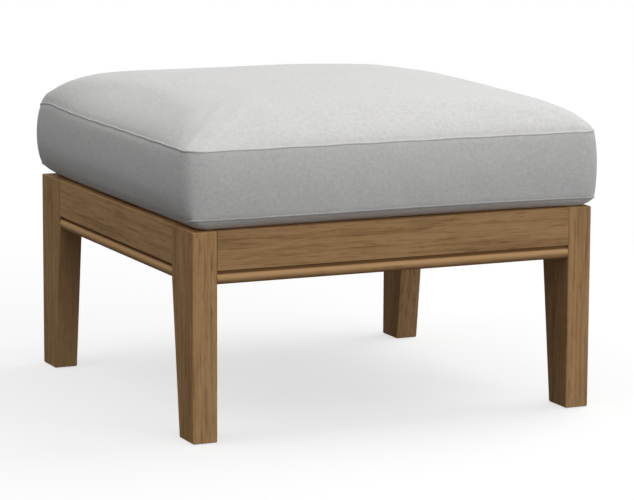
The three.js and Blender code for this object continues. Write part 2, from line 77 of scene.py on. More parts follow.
FRAME_HALF = Vector((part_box("leg_front_right")[1].x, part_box("leg_back_left")[1].y))
APRON_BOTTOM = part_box("apron_front")[0].z
SEAT_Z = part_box("cover_bottom_panel")[0].z
BOTTOM_SEAM_Z = middle_of("piping_bottom").z
TOP_SEAM_Z = BOTTOM_SEAM_Z + 99.3 * MM
ZIP_Z = middle_of("zip_tape").z


# Settings a user would change

class WoodSettings(bpy.types.PropertyGroup):
    """The oiled hardwood of the frame."""

    light: FloatVectorProperty(
        name="Light wood", description="Colour of the early wood between the dark streaks",
        subtype="COLOR", size=3, min=0, max=1, default=(0.56, 0.34, 0.162),
    )
    dark: FloatVectorProperty(
        name="Dark wood", description="Colour of the dark streaks and pores",
        subtype="COLOR", size=3, min=0, max=1, default=(0.3, 0.162, 0.07),
    )
    ring_spacing: FloatProperty(
        name="Ring spacing", description="Distance between two growth rings",
        unit="LENGTH", min=0.5 * MM, default=4.2 * MM,
    )
    arris: FloatProperty(
        name="Arris rounding", description="How far each edge of a piece is rounded",
        unit="LENGTH", min=0.1 * MM, default=0.5 * MM,
    )


class CushionSettings(bpy.types.PropertyGroup):
    """The cover, its seams and its filling."""

    cloth: FloatVectorProperty(
        name="Cloth", description="Mean colour of the woven cover",
        subtype="COLOR", size=3, min=0, max=1, default=(0.775, 0.768, 0.76),
    )
    yarn: FloatProperty(
        name="Yarn pitch", description="Distance between two yarns of the plain weave",
        unit="LENGTH", min=0.2 * MM, default=0.85 * MM,
    )
    columns: IntProperty(
        name="Columns", description="Faces across the cover from seam to seam", min=20, default=90,
    )
    rows: IntProperty(name="Rows", description="Faces up the band", min=4, default=18)
    pressure: FloatProperty(
        name="Pressure", description="Pressure that fills the cover in the cloth simulation",
        min=0, default=4,
    )
    swell: FloatProperty(
        name="Most swelling", description="The most that a point of the cover may move as it fills",
        unit="LENGTH", min=0, default=2.5 * MM,
    )
    ease: FloatProperty(
        name="Ease", description="How much larger the cloth is cut than the form that it covers",
        subtype="FACTOR", min=0, max=0.05, default=0.003,
    )
    settling: IntProperty(
        name="Settling", description="How often the folds of the filled cover are softened",
        min=0, default=3,
    )


def lamp_power(name, place, default):
    return FloatProperty(
        name=f"{name} lamp", description=f"Power of the lamp {place}", unit="POWER", min=0, default=default,
    )


class StageSettings(bpy.types.PropertyGroup):
    """Lamps, floor and camera."""

    key: lamp_power("Key", "above and to the right", 28.5)
    front: lamp_power("Front", "in front", 25.5)
    high: lamp_power("High", "above in front", 11)
    left: lamp_power("Left", "above and to the left", 11.8)
    back: lamp_power("Back", "low behind", 8)
    ambient: FloatProperty(
        name="Ambient", description="Strength of the soft light from above", min=0, default=0.4,
    )
    lens: FloatProperty(
        name="Lens", description="Focal length of the camera", unit="CAMERA", min=1, default=174.45,
    )


# Materials as sums of sockets

def overload(operation, swapped=False):
    """An operator that becomes a Math node, with its two values swapped in a reflected form."""
    def written(self, other):
        values = (other, self) if swapped else (self, other)
        return self.maths(operation, *values)
    return written


class Shade:
    """An output socket of a finish. A sum written with it becomes Math nodes."""

    def __init__(self, finish, socket):
        self.finish = finish
        self.socket = socket

    def maths(self, operation, *values):
        return self.finish.node("ShaderNodeMath", {"operation": operation}, dict(enumerate(values)))

    __add__ = overload("ADD")
    __radd__ = overload("ADD", True)
    __sub__ = overload("SUBTRACT")
    __rsub__ = overload("SUBTRACT", True)
    __mul__ = overload("MULTIPLY")
    __rmul__ = overload("MULTIPLY", True)
    __truediv__ = overload("DIVIDE")
    __pow__ = overload("POWER")

    def sine(self):
        return self.maths("SINE", self)

    def fraction(self):
        return self.maths("FRACT", self)

    def within(self, low, high):
        """0 below low, 1 above high and a smooth rise between."""
        return self.finish.node(
            "ShaderNodeMapRange", {"interpolation_type": "SMOOTHSTEP"},
            {"Value": self, "From Min": low, "From Max": high},
        )


class Finish:
    """A material or world whose nodes are made one by one."""

    def __init__(self, name, kind="materials"):
        self.block = getattr(bpy.data, kind).new(name)
        self.block.use_nodes = True
        self.tree = self.block.node_tree
        self.tree.nodes.clear()

    def node(self, kind, settings, sockets, output=0):
        """A node of that kind. Its settings come first, then the values or links of its sockets."""
        made = self.tree.nodes.new(kind)
        for name, value in settings.items():
            setattr(made, name, value)
        for name, value in sockets.items():
            if isinstance(value, Shade):
                self.tree.links.new(value.socket, made.inputs[name])
            else:
                made.inputs[name].default_value = value
        return Shade(self, made.outputs[output])

    def place(self, offset=(0, 0, 0), turn=(0, 0, 0)):
        """The object's own coordinates, turned and then moved."""
        where = self.node("ShaderNodeTexCoord", {}, {}, "Object")
        return self.node(
            "ShaderNodeMapping", {"vector_type": "POINT"},
            {"Vector": where, "Location": offset, "Rotation": turn},
        )

    def noise(self, vector, scale, detail=2.0, roughness=0.5):
        """Noise about 0.5 whose scale differs along each axis."""
        stretched = self.node("ShaderNodeVectorMath", {"operation": "MULTIPLY"}, {0: vector, 1: scale})
        return self.node(
            "ShaderNodeTexNoise", {},
            {"Vector": stretched, "Scale": 1.0, "Detail": detail, "Roughness": roughness},
        )

    def parts(self, vector):
        split = self.node("ShaderNodeSeparateXYZ", {}, {0: vector})
        return [Shade(self, socket) for socket in split.socket.node.outputs]

    def blend(self, share, low, high):
        """The colour low where share is 0 and high where it is 1."""
        return self.node("ShaderNodeMix", {"data_type": "RGBA"}, {0: share, 6: low, 7: high}, 2)

    def tinted(self, colour, share):
        """A colour times a share that varies over the surface."""
        grey_share = self.node("ShaderNodeCombineColor", {}, {0: share, 1: share, 2: share})
        return self.node(
            "ShaderNodeMix", {"data_type": "RGBA", "blend_type": "MULTIPLY"},
            {0: 1.0, 6: opaque(colour), 7: grey_share}, 2,
        )

    def bump(self, height, distance, strength):
        return self.node(
            "ShaderNodeBump", {}, {"Height": height, "Distance": distance, "Strength": strength},
        )

    def surface(self, **sockets):
        """The finish's one shader, with its sockets by name, spaces written as underlines."""
        named = {name.replace("_", " "): value for name, value in sockets.items()}
        return self.output(self.node("ShaderNodeBsdfPrincipled", {}, named, "BSDF"))

    def output(self, shader, kind="ShaderNodeOutputMaterial"):
        out = self.tree.nodes.new(kind)
        self.tree.links.new(shader.socket, out.inputs["Surface"])
        return self.block


def opaque(colour):
    return (*colour, 1.0)


def grey(level):
    return opaque((level, level, level))


WHITE = grey(1.0)


# Meshes and pieces

def bevel(mesh, edges, width, segments, **more):
    bmesh.ops.bevel(
        mesh, geom=edges, offset=width, segments=segments, profile=0.5, affect="EDGES", material=-1, **more,
    )


def finish_edges(mesh, angle):
    """Smooth faces, with each edge sharper than angle kept sharp."""
    for edge in mesh.edges:
        edge.smooth = edge.is_manifold and edge.calc_face_angle() < angle
    for face in mesh.faces:
        face.smooth = True


def add_to_scene(name, data):
    made = bpy.data.objects.new(name, data)
    bpy.context.scene.collection.objects.link(made)
    return made


def add_piece(name, mesh, sharp_angle):
    """A new piece at the origin from a bmesh, which is freed."""
    finish_edges(mesh, sharp_angle)
    data = bpy.data.meshes.new(name)
    mesh.to_mesh(data)
    mesh.free()
    return add_to_scene(name, data)


def merged_copy(node):
    """A copy of a CAD piece's mesh whose loose triangles are joined."""
    mesh = bmesh.new()
    mesh.from_mesh(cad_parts[node].data)
    bmesh.ops.remove_doubles(mesh, verts=mesh.verts, dist=TINY)
    return mesh


def dress(piece, material, body, slot, *nodes):
    """Gives a piece its finish and its body and hides the CAD nodes that it stands for; the slot is not
    used.
    """
    piece.data.materials.append(material)
    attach(piece, body)
    if nodes:
        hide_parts(*nodes)


NO_EDGE_SHARP = math.pi
SHARP_ANGLE = math.radians(40)


# Wood

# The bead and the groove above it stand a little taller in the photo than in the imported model
PACKED_BEAD = 11 * MM
PACKED_GROOVE = 5.5 * MM
BEAD_HEIGHT = 16.2 * MM
GROOVE_HEIGHT = 4.6 * MM
# Heights over which painted shade fades below the groove's two edges and above the apron's lower edge under
# the bead, and over which the bead's painted highlight fades in above that edge and out below the bead's
# top
GROOVE_SHADE_FADES = (2 * MM, 0.6 * MM)
UNDER_SHADE_FADE = (2.5 * MM, 8 * MM)
BEAD_HIGHLIGHT_FADES = (6 * MM, 11 * MM, 3.5 * MM)
# Legs taper from the aprons' lower edge to the foot
FOOT_DEPTH = 54.5 * MM
TAPER_FADE = (0.3 * MM, 1.5 * MM)
# One front leg is painted darker behind its front face, as painted shade on its sides
SIDE_SHADE_FADE = (MM, 9 * MM)
# Painted light: how much lighter the wood is painted, and its share on the beads, as a painted highlight,
# and on the tapered face of one back leg, which lies in shade
PAINTED_LIGHTNESS = 1.45
BEAD_HIGHLIGHT_SHARE = 0.75
TAPER_LIGHT_SHARE = 0.4
# How far apart along one log the pieces are cut
LOG_STEP = 0.37
# Growth rings: how far they sway, and the shares of each over which its late wood sets in and ends
RING_SWAY = 9 * MM
LATE_WOOD = (0.45, 0.98)
RING_EDGE = (0.97, 1.0)
# The wood is light where its darkness is below the first of these and dark above the second
DARKNESS_RANGE = (-0.2, 1.1)
# Darkness before its streaks, pores and rings are added
DARKNESS = 0.2
# Scales along and across the grain of the rings' sway, the short dark dashes and the pores
SWAY_NOISE = (1.6, 9, 9)
DASH_NOISE = (24, 360, 360)
PORE_NOISE = (34, 1400, 1400)
# Values of that noise over which a dash, a pore's dark spot and its pit set in
DASH_RANGE = (0.58, 0.68)
PORE_RANGE = (0.6, 0.75)
PIT_RANGE = (0.58, 0.75)
# How much each of these darkens the wood; the groove's and the depth's are painted shade, in the apron's
# groove and under its bead, and on one front leg's sides behind its front face
DARKER = {"late wood": 0.2, "dashes": 0.42, "pores": 0.22, "groove": 1.1, "depth": 0.3}
# Noise in the wood: scales along and across the grain, detail, roughness and weight in its darkness
WOOD_NOISE = {
    "streaks": (9, 180, 3.0, 0.55, 1.4),
    "fibres": (14, 430, 4.0, 0.62, 0.9),
    "broad": (3.5, 34, 2.0, 0.5, 0.8),
    "flecks": (60, 110, 2.0, 0.5, 0.35),
}
# The turn that lays a piece's grain along X
GRAIN_TURNS = {"x": (0, 0, 0), "y": (0, 0, -math.pi / 2), "z": (0, math.pi / 2, 0)}


def groove_shade_and_bead_highlight(finish, node):
    """Masks of the painted shade in the apron's groove and under its bead, and of the painted highlight on
    its bead.
    """
    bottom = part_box(node)[0].z
    _, _, z = finish.parts(finish.place())
    bead_top = bottom + BEAD_HEIGHT
    groove_top = bead_top + GROOVE_HEIGHT
    start, end = GROOVE_SHADE_FADES
    groove = z.within(bead_top - start, bead_top) * (1 - z.within(groove_top - end, groove_top))
    start, end = UNDER_SHADE_FADE
    under = 1 - z.within(bottom + start, bottom + end)
    start, end, top = BEAD_HIGHLIGHT_FADES
    bead = z.within(bottom + start, bottom + end) * (1 - z.within(bead_top - top, bead_top))
    return groove + under * 0.5, bead


def tapered_face(finish, node):
    """1 on the tapered face of a back leg, where light is painted."""
    low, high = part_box(node)
    _, y, z = finish.parts(finish.place())
    foot = high.y - FOOT_DEPTH
    face = foot - z * ((foot - low.y) / APRON_BOTTOM)
    return 1 - (y - face).within(*TAPER_FADE)


def timber(name, node, axis, seed, tint, pith, settings):
    """Straight-grained hardwood sawn from a log whose heart lies at pith from the piece."""
    finish = Finish(name)
    place = finish.place((LOG_STEP * seed, *pith), GRAIN_TURNS[axis])
    _, across, up = finish.parts(place)
    sway = finish.noise(place, SWAY_NOISE, 3.0) - 0.5
    heart = (across * across + up * up) ** 0.5 + sway * RING_SWAY
    rings = (heart / settings.ring_spacing + seed).fraction()
    late_wood = rings.within(*LATE_WOOD) * (1 - rings.within(*RING_EDGE))

    layers = {}
    darkness = DARKNESS
    for layer, (length, breadth, detail, roughness, weight) in WOOD_NOISE.items():
        layers[layer] = finish.noise(place, (length, breadth, breadth), detail, roughness) - 0.5
        darkness = darkness + layers[layer] * weight
    dashes = finish.noise(place, DASH_NOISE).within(*DASH_RANGE)
    pores = finish.noise(place, PORE_NOISE)
    darkness = (
        darkness + late_wood * DARKER["late wood"] + dashes * DARKER["dashes"]
        + pores.within(*PORE_RANGE) * DARKER["pores"]
    )
    painted_light = None
    # Painted shade in the apron's groove and under its bead, and a painted highlight on the bead
    if node.startswith("apron"):
        groove, bead = groove_shade_and_bead_highlight(finish, node)
        darkness = darkness + groove * DARKER["groove"]
        painted_light = bead * BEAD_HIGHLIGHT_SHARE
    # Painted light on the tapered face of one back leg, which lies in shade
    if node == "leg_back_left":
        painted_light = tapered_face(finish, node) * TAPER_LIGHT_SHARE
    # Painted shade on one front leg's sides, behind its front face
    if node == "leg_front_left":
        _, depth, _ = finish.parts(finish.place())
        darkness = darkness + (depth + FRAME_HALF.y).within(*SIDE_SHADE_FADE) * DARKER["depth"]
    mask = darkness.within(*DARKNESS_RANGE)
    light = [tint * c for c in settings.light]
    dark = [tint * c for c in settings.dark]
    colour = finish.blend(mask, opaque(light), opaque(dark))
    # The painted highlight and painted light, blended over the wood's colour
    if painted_light:
        colour = finish.blend(painted_light, colour, opaque([PAINTED_LIGHTNESS * c for c in light]))
    height = layers["fibres"] * 0.5 - pores.within(*PIT_RANGE) * 0.8
    return finish.surface(
        Base_Color=colour, Roughness=0.6 + mask * 0.14, IOR=1.1,
        Normal=finish.bump(height, 0.12 * MM, 0.6),
    )


# The aprons' arrises have this share of the others' rounding
APRON_ARRIS = 0.4
ROUND_ANGLE = math.radians(24)
FLAT_ANGLE = math.radians(0.5)


def stretch_bead(mesh, node):
    """Gives an apron's bead and groove their full heights."""
    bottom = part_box(node)[0].z
    for vertex in mesh.verts:
        height = vertex.co.z - bottom
        if height < PACKED_BEAD + TINY:
            vertex.co.z = bottom + height * BEAD_HEIGHT / PACKED_BEAD
        elif height < PACKED_BEAD + PACKED_GROOVE + TINY:
            vertex.co.z = bottom + BEAD_HEIGHT + GROOVE_HEIGHT


def rounded_copy(node, name, radius, segments=2):
    """A copy of a CAD piece whose edges are rounded and whose broad faces stay flat."""
    mesh = merged_copy(node)
    if node.startswith("apron"):
        stretch_bead(mesh, node)
    bmesh.ops.dissolve_limit(mesh, angle_limit=FLAT_ANGLE, verts=mesh.verts, edges=mesh.edges)
    sharp = [e for e in mesh.edges if e.is_manifold and e.calc_face_angle() > ROUND_ANGLE]
    bevel(mesh, sharp, radius, segments, offset_type="OFFSET", clamp_overlap=True)
    bmesh.ops.triangulate(mesh, faces=[f for f in mesh.faces if len(f.verts) > 4])
    piece = add_piece(name, mesh, SHARP_ANGLE)
    flat = piece.modifiers.new("broad faces flat", "WEIGHTED_NORMAL")
    flat.keep_sharp = True
    flat.weight = 80
    return piece


def wooden_pieces():
    """Visible and inner pieces: node, grain's axis, share of lightness and place of the log's heart."""
    visible = [
        ("leg_front_left", "z", 1.21, (0.09, 0.02)),
        ("leg_front_right", "z", 1.08, (-0.11, 0.03)),
        ("leg_back_left", "z", 1.0, (0.05, -0.1)),
        ("leg_back_right", "z", 1.14, (-0.08, -0.06)),
        ("apron_front", "x", 1.0, (0.1, -0.25)),
        ("apron_back", "x", 0.97, (-0.1, -0.33)),
        ("apron_left", "y", 1.07, (0.07, -0.22)),
        ("apron_right", "y", 1.0, (-0.13, -0.31)),
    ]
    slats = [
        (f"slat_{i}", "y", 0.96 + 0.03 * (i % 3), (0.05 * (i % 4) - 0.08, -0.25 - 0.02 * (i % 5)))
        for i in range(1, 8)
    ]
    inner = [
        ("cleat_front", "x", 0.86, (0.1, -0.2)),
        ("cleat_back", "x", 0.84, (-0.06, -0.22)),
        ("middle_rail", "x", 0.86, (0.04, -0.21)),
    ]
    blocks = [(f"corner_block_{c}", "x", 0.82, (0.05, -0.2)) for c in CORNERS]
    return visible + slats, inner + blocks


class FOOTSTOOL_OT_frame_wood(bpy.types.Operator):
    """Round the edges of the wooden pieces and give each its own grain"""

    bl_idname = "footstool.frame_wood"
    bl_label = "Finish the wood"

    def execute(self, context):
        settings = context.scene.footstool_wood
        oiled, plain = wooden_pieces()
        for seed, (node, axis, tint, pith) in enumerate(oiled + plain):
            arris = settings.arris * (APRON_ARRIS if node.startswith("apron") else 1)
            piece = rounded_copy(node, f"{node}_wood", arris)
            grain = timber(f"{node} grain", node, axis, seed, tint, pith, settings)
            slot = "oiled_hardwood" if seed < len(oiled) else "plain_hardwood"
            dress(piece, grain, "frame", slot, node)
        return {"FINISHED"}


# Cushion form

def side_point(along, half, across_half, radius, bow):
    """A point of one side of a rounded rectangle: its place along the side and out from the middle."""
    straight = half - radius
    reach = abs(along) * (straight + radius * math.pi / 4)
    if reach <= straight:
        return math.copysign(reach, along), across_half + bow * (1 - (reach / straight) ** 2)
    angle = (reach - straight) / radius
    place = straight + radius * math.sin(angle)
    return math.copysign(place, along), across_half - radius * (1 - math.cos(angle))


def outline_point(u, v, half, radius, bow):
    """The point of a rounded rectangle for a point of the square's edge."""
    if abs(u) >= abs(v):
        y, x = side_point(v, half.y, half.x, radius, bow)
        return Vector((math.copysign(x, u), y))
    x, y = side_point(u, half.x, half.y, radius, bow)
    return Vector((x, math.copysign(y, v)))


def inner_point(u, v, half, radius, bow):
    """A point inside the rounded rectangle, blended from its four sides."""
    right, left = outline_point(1, v, half, radius, bow), outline_point(-1, v, half, radius, bow)
    back, front = outline_point(u, 1, half, radius, bow), outline_point(u, -1, half, radius, bow)
    a, b = (1 + u) / 2, (1 + v) / 2
    corners = [outline_point(x, y, half, radius, bow) for x, y in ((1, 1), (-1, 1), (-1, -1), (1, -1))]
    flat = (
        corners[0] * a * b + corners[1] * (1 - a) * b
        + corners[2] * (1 - a) * (1 - b) + corners[3] * a * (1 - b)
    )
    return right * a + left * (1 - a) + back * b + front * (1 - b) - flat


def reach_of(point, half, radius):
    """How far a point lies out from the middle, as a share of the way to the rounded rectangle."""
    x, y = abs(point.x), abs(point.y)
    inner = Vector((half.x - radius, half.y - radius))
    if y * half.x <= x * inner.y:
        return x / half.x
    if x * half.y <= y * inner.x:
        return y / half.y
    a = inner.length_squared - radius ** 2
    b = x * inner.x + y * inner.y
    c = x * x + y * y
    return (b - math.sqrt(max(b * b - a * c, 0))) / a


def at_side(cube):
    """Whether a point of the cube lies on its upright sides."""
    return max(abs(cube.x), abs(cube.y)) > 1 - TINY


def per_corner(front_left=0, front_right=0, back_left=0, back_right=0):
    """An amount for each corner, by the signs of its x and y."""
    return {(-1, -1): front_left, (1, -1): front_right, (-1, 1): back_left, (1, 1): back_right}


class CushionForm:
    """The cover's form before it is filled, as a function of a point of a cube."""

    bottom_overhang = 7 * MM
    top_overhang = 10.5 * MM
    bottom_radius = 18 * MM
    top_radius = 33 * MM
    bottom_bow = 3 * MM
    top_draw = 3 * MM
    bulge = 4.4 * MM
    roll = 26 * MM
    roll_shape = 1.25
    crease = 2.4 * MM
    shallow_crease = crease / 3
    crease_width = 2.4 * MM
    wander = 0.35 * MM
    waves = ((23, 5), (-3, 31))
    edge_crowding = 1.4
    row_crowding = 1.6
    crown_rise = 60.3 * MM
    crown_flatness = 5.3
    crown_fullness = 0.86
    crown_roundness = 9
    # How far the top seam rises towards each corner, and dips again right at it
    lifts = per_corner(1.5 * MM, -1 * MM, 16 * MM, 6.3 * MM)
    dips = per_corner(back_left=25 * MM)
    # How far the bottom seam drops towards each corner
    drops = per_corner(front_right=4 * MM, back_left=-2 * MM)
    # How far each corner is pulled in at the bottom seam and at the top seam
    tucks = per_corner(front_right=-1.5 * MM, back_left=2.7 * MM, back_right=2 * MM)
    top_tucks = per_corner(back_left=2.8 * MM)
    # How much narrower the rolled edge of the bottom panel is at each corner
    squeezes = per_corner(front_right=15 * MM, back_left=-6 * MM)
    # How much lower the crown is near each corner, and how much fuller
    fades = per_corner(0.15, 0.19, -0.12, 0.35)
    plumpness = per_corner(0.03, 0.37, 0.3)
    # On the left the bottom seam lies lower and further in, under the band's rounded edge
    left_drop = 8 * MM
    left_tuck = 12 * MM
    left_squeeze = 14 * MM
    # Powers by which these amounts fade away from their corner, side or seam
    lift_fading = 3
    dip_fading = 9
    drop_fading = 2
    corner_fading = 4
    side_fading = 4
    end_fading = 8
    seam_fading = 3
    edge_fading = 14
    diagonal_fading = 4
    rim_fading = 8
    # Powers by which the top seam's lift and the corners' fades grow from the crown's middle out
    lift_growth = 4
    fade_growth = 2
    # Under the top seam the crease has this share of its depth, and less in front
    band_crease = 0.5
    front_ease = 0.3

    def __init__(self):
        self.bottom_half = FRAME_HALF + Vector((1, 1)) * self.bottom_overhang
        self.top_half = FRAME_HALF + Vector((1, 1)) * self.top_overhang
        self.zip_bulge = ZIP_FACE_Y - (self.bottom_half.y + self.top_half.y) / 2

    def crowd(self, place, crowding=edge_crowding):
        """Moves a place between -1 and 1 nearer to the end beside it."""
        return math.copysign(1 - (1 - abs(place)) ** crowding, place)

    def shares(self, cube):
        """The shares of the way out to each side for a point of the cube."""
        return self.crowd(cube.x), self.crowd(cube.y), self.crowd(cube.z, self.row_crowding)

    def blended(self, amounts, u, v):
        """An amount that each corner has of its own, blended over the whole cushion."""
        return sum(amount * (1 + x * u) * (1 + y * v) / 4 for (x, y), amount in amounts.items())

    def at_corners(self, amounts, u, v, fading=corner_fading):
        """The same amount, fading towards the middles of the sides."""
        return self.blended(amounts, u, v) * min(abs(u), abs(v)) ** fading

    def leftness(self, u, v):
        """1 along the left side, fading towards its two corners and the middle."""
        return max(-u, 0) ** self.side_fading * (1 - abs(v) ** self.end_fading)

    def bottom_seam(self, u, v):
        """How high the bottom seam runs, which sags on the left and towards one corner."""
        drop = self.at_corners(self.drops, u, v, self.drop_fading)
        return BOTTOM_SEAM_Z - drop - self.left_drop * self.leftness(u, v)

    def lift(self, u, v):
        """How far the top seam rises towards each corner, and wanders between."""
        sewn_waves = sum(math.sin(a * u + b * v) for a, b in self.waves)
        rise = self.at_corners(self.lifts, u, v, self.lift_fading)
        return rise - self.at_corners(self.dips, u, v, self.dip_fading) + self.wander * sewn_waves

    def tucked(self, flat, u, v, share):
        """Pulls the corners in, each by its own amount, and the band's lower edge on the left."""
        tuck = self.at_corners(self.tucks, u, v) * (1 - share) ** self.seam_fading
        tuck += self.at_corners(self.top_tucks, u, v) * share ** self.seam_fading
        under = self.left_tuck * self.leftness(u, v) * (1 - share) ** self.edge_fading
        return flat - flat.normalized() * tuck + Vector((under, 0))

    def band(self, u, v, share):
        """A point of the band, share of the way up from the bottom seam."""
        at_zip = v > 1 - TINY and abs(u) * FRAME_HALF.x < ZIP_HALF + 2 * ZIP_HELD
        swell = (self.zip_bulge if at_zip else self.bulge) * 4 * share * (1 - share)
        half = self.bottom_half.lerp(self.top_half, share) + Vector((swell, swell))
        radius = self.bottom_radius + (self.top_radius - self.bottom_radius) * share + swell
        bow = self.bottom_bow + (-self.top_draw - self.bottom_bow) * share
        flat = self.tucked(outline_point(u, v, half, radius, bow), u, v, share)
        bottom = self.bottom_seam(u, v)
        top = TOP_SEAM_Z + self.lift(u, v)
        return Vector((*flat, bottom + (top - bottom) * share))

    def crown(self, u, v):
        """A point of the crown, whose level lines grow rounder towards the middle."""
        flat = inner_point(u, v, self.top_half, self.top_radius, -self.top_draw)
        reach = min(reach_of(flat, self.top_half, self.top_radius), 1)
        across = Vector((abs(flat.x) / self.top_half.x, abs(flat.y) / self.top_half.y))
        diagonal = (2 * across.x * across.y / max(across.length_squared, TINY)) ** self.diagonal_fading
        power = self.crown_roundness
        rounder = min((across.x ** power + across.y ** power) ** (1 / power), 1)
        rim = reach ** self.rim_fading
        level = reach * rim + rounder * (1 - rim)
        fade = 1 - self.blended(self.fades, u, v) * diagonal * reach ** self.fade_growth
        steepness = self.crown_fullness * (1 - self.blended(self.plumpness, u, v) * diagonal)
        rise = self.crown_rise * fade * (1 - level ** self.crown_flatness) ** steepness
        flat = self.tucked(flat, u, v, 1)
        return Vector((*flat, TOP_SEAM_Z + self.lift(u, v) * reach ** self.lift_growth + rise))

    def underside(self, u, v):
        """A point of the bottom panel, flat on the deck with its edge rolled up to the seam."""
        flat = inner_point(u, v, self.bottom_half, self.bottom_radius, self.bottom_bow)
        reach = min(reach_of(flat, self.bottom_half, self.bottom_radius), 1)
        flat = self.tucked(flat, u, v, 0)
        squeeze = self.at_corners(self.squeezes, u, v) + self.left_squeeze * self.leftness(u, v)
        start = 1 - (self.roll - squeeze) / FRAME_HALF.x
        turn = max(reach - start, 0) / (1 - start)
        fullness = (1 - min(turn, 1) ** self.roll_shape) ** (1 / self.roll_shape)
        return Vector((*flat, SEAT_Z + (self.bottom_seam(u, v) - SEAT_Z) * (1 - fullness)))

    def point(self, cube):
        """The form's point for a point of the cube from -1 to 1."""
        u, v, w = self.shares(cube)
        if at_side(cube):
            return self.band(u, v, (1 + w) / 2)
        return self.crown(u, v) if w > 0 else self.underside(u, v)

    def crease_at(self, cube):
        """How deep the cloth is drawn in beside the nearest seam."""
        u, v, w = self.shares(cube)
        inward = 1 - max(abs(u), abs(v))
        if inward > TINY:
            depth = self.crease if w < 0 else self.shallow_crease
            return depth * math.exp(-((inward * FRAME_HALF.x / self.crease_width) ** 2))
        away = (1 - abs(w)) * (TOP_SEAM_Z - BOTTOM_SEAM_Z) / 2
        if w < 0:
            return self.shallow_crease * math.exp(-((away / self.crease_width) ** 2))
        depth = self.crease * (self.band_crease - self.front_ease * max(-v, 0) ** self.end_fading)
        return depth * math.exp(-(((away - self.crease_width / 2) / self.crease_width) ** 2))


# The slot for the zip: half its length and height, and how far back the band's face lies there
ZIP_HALF = half_of("zip_tape").x - 8 * MM
ZIP_SLOT = 3.5 * MM
ZIP_FACE_Y = FRAME_HALF.y + 11.15 * MM
# Its edge is turned in as a rounded lip, and the pocket behind is larger all round by the margin
ZIP_LIP = 1.5 * MM
ZIP_LIP_ROUNDING = 0.8 * MM
ZIP_LIP_ANGLE = math.radians(65)
ZIP_MARGIN = 9.5 * MM
ZIP_POCKET_DEPTH = 3 * MM
# While the cover fills, it is held fast within this distance of the zip
ZIP_HELD = 14 * MM
# The bottom panel is held this firmly where it rolls up off the deck
SOFT_UNDERSIDE = 0.7
FILL_STEPS = 20


def edges_along(mesh, axis, length):
    """The edges that run along an axis for more than a length."""
    return [e for e in mesh.edges if abs(e.verts[0].co[axis] - e.verts[1].co[axis]) > length]


def gridded_cube(columns, rows):
    """A cube from -1 to 1 whose sides are even grids, with rows faces up its height."""
    mesh = bmesh.new()
    bmesh.ops.create_cube(mesh, size=2)
    for axis, count in ((2, rows), (0, columns), (1, columns)):
        edges = edges_along(mesh, axis, 1)
        bmesh.ops.subdivide_edges(mesh, edges=edges, cuts=count - 1, use_grid_fill=True)
    return mesh


def lay_cloth_map(mesh, form):
    """Lays a flat cloth map in metres, with the band's sides a metre apart and the warp up them."""
    layer = mesh.loops.layers.uv.new("cloth")
    half_band = (TOP_SEAM_Z - BOTTOM_SEAM_Z) / 2
    for face in mesh.faces:
        normal = face.normal
        for loop in face.loops:
            u, v, w = form.shares(loop.vert.co)
            x, y, up = u * FRAME_HALF.x, v * FRAME_HALF.y, w * half_band
            if abs(normal.z) > 0.5:
                loop[layer].uv = (x, y)
            elif abs(normal.y) > 0.5:
                loop[layer].uv = (x + normal.y, up)
            else:
                loop[layer].uv = (y + 2 * normal.x, up)


def held_share(cube, place):
    """How firmly a point is held while the cover fills: 1 at the seams, the deck and the zip."""
    outside = at_side(cube)
    if outside and abs(cube.z) > 1 - TINY:
        return 1.0
    if not outside and cube.z < 0:
        return 1.0 if place.z < SEAT_Z + MM else SOFT_UNDERSIDE
    beside_zip = abs(place.z - ZIP_Z) < ZIP_HELD and abs(place.x) < ZIP_HALF + ZIP_HELD
    return 1.0 if outside and place.y > FRAME_HALF.y and beside_zip else 0.0


def evaluated_mesh(piece):
    """The piece's mesh with its modifiers applied."""
    bpy.context.view_layer.update()
    graph = bpy.context.evaluated_depsgraph_get()
    return bpy.data.meshes.new_from_object(piece.evaluated_get(graph), depsgraph=graph)


def subdivide_once(piece):
    finer = piece.modifiers.new("one subdivision", "SUBSURF")
    finer.levels = finer.render_levels = 1
    old, new = piece.data, evaluated_mesh(piece)
    new.name = old.name
    piece.modifiers.clear()
    piece.data = new
    bpy.data.meshes.remove(old)


def fill_with_pressure(piece, settings):
    """Swells the cover under pressure with its held points fixed, and caps how far it moves."""
    start = [vertex.co.copy() for vertex in piece.data.vertices]
    cloth = piece.modifiers.new("fill", "CLOTH")
    cloth.settings.quality = 6
    cloth.settings.mass = 0.3
    cloth.settings.use_pressure = True
    cloth.settings.uniform_pressure_force = settings.pressure
    cloth.settings.vertex_group_mass = "held"
    cloth.settings.shrink_min = -settings.ease
    cloth.settings.effector_weights.gravity = 0
    cloth.collision_settings.use_collision = False
    cloth.collision_settings.use_self_collision = False
    scene = bpy.context.scene
    for step in range(1, FILL_STEPS + 1):
        scene.frame_set(step)
    filled = evaluated_mesh(piece)
    piece.modifiers.clear()
    for vertex, before, after in zip(piece.data.vertices, start, filled.vertices):
        move = after.co - before
        if move.length > settings.swell:
            move *= settings.swell / move.length
        vertex.co = before + move
    bpy.data.meshes.remove(filled)
    scene.frame_set(1)


def settle_folds(piece, times):
    """Softens the folds that the filling left, but not the held points."""
    mesh = bmesh.new()
    mesh.from_mesh(piece.data)
    held = mesh.verts.layers.deform.verify()
    free = [v for v in mesh.verts if v[held].get(0, 0) < 0.5]
    for _ in range(times):
        bmesh.ops.smooth_vert(
            mesh, verts=free, factor=0.5, use_axis_x=True, use_axis_y=True, use_axis_z=True,
        )
    mesh.to_mesh(piece.data)
    mesh.free()


def draw_in_seams(piece, depths):
    """Draws the cloth in beside the seams, where the stitches hold it."""
    normals = [vertex.normal.copy() for vertex in piece.data.vertices]
    for vertex, normal, depth in zip(piece.data.vertices, normals, depths):
        vertex.co -= normal * depth


def open_rim(mesh):
    return [e for e in mesh.edges if e.is_boundary]


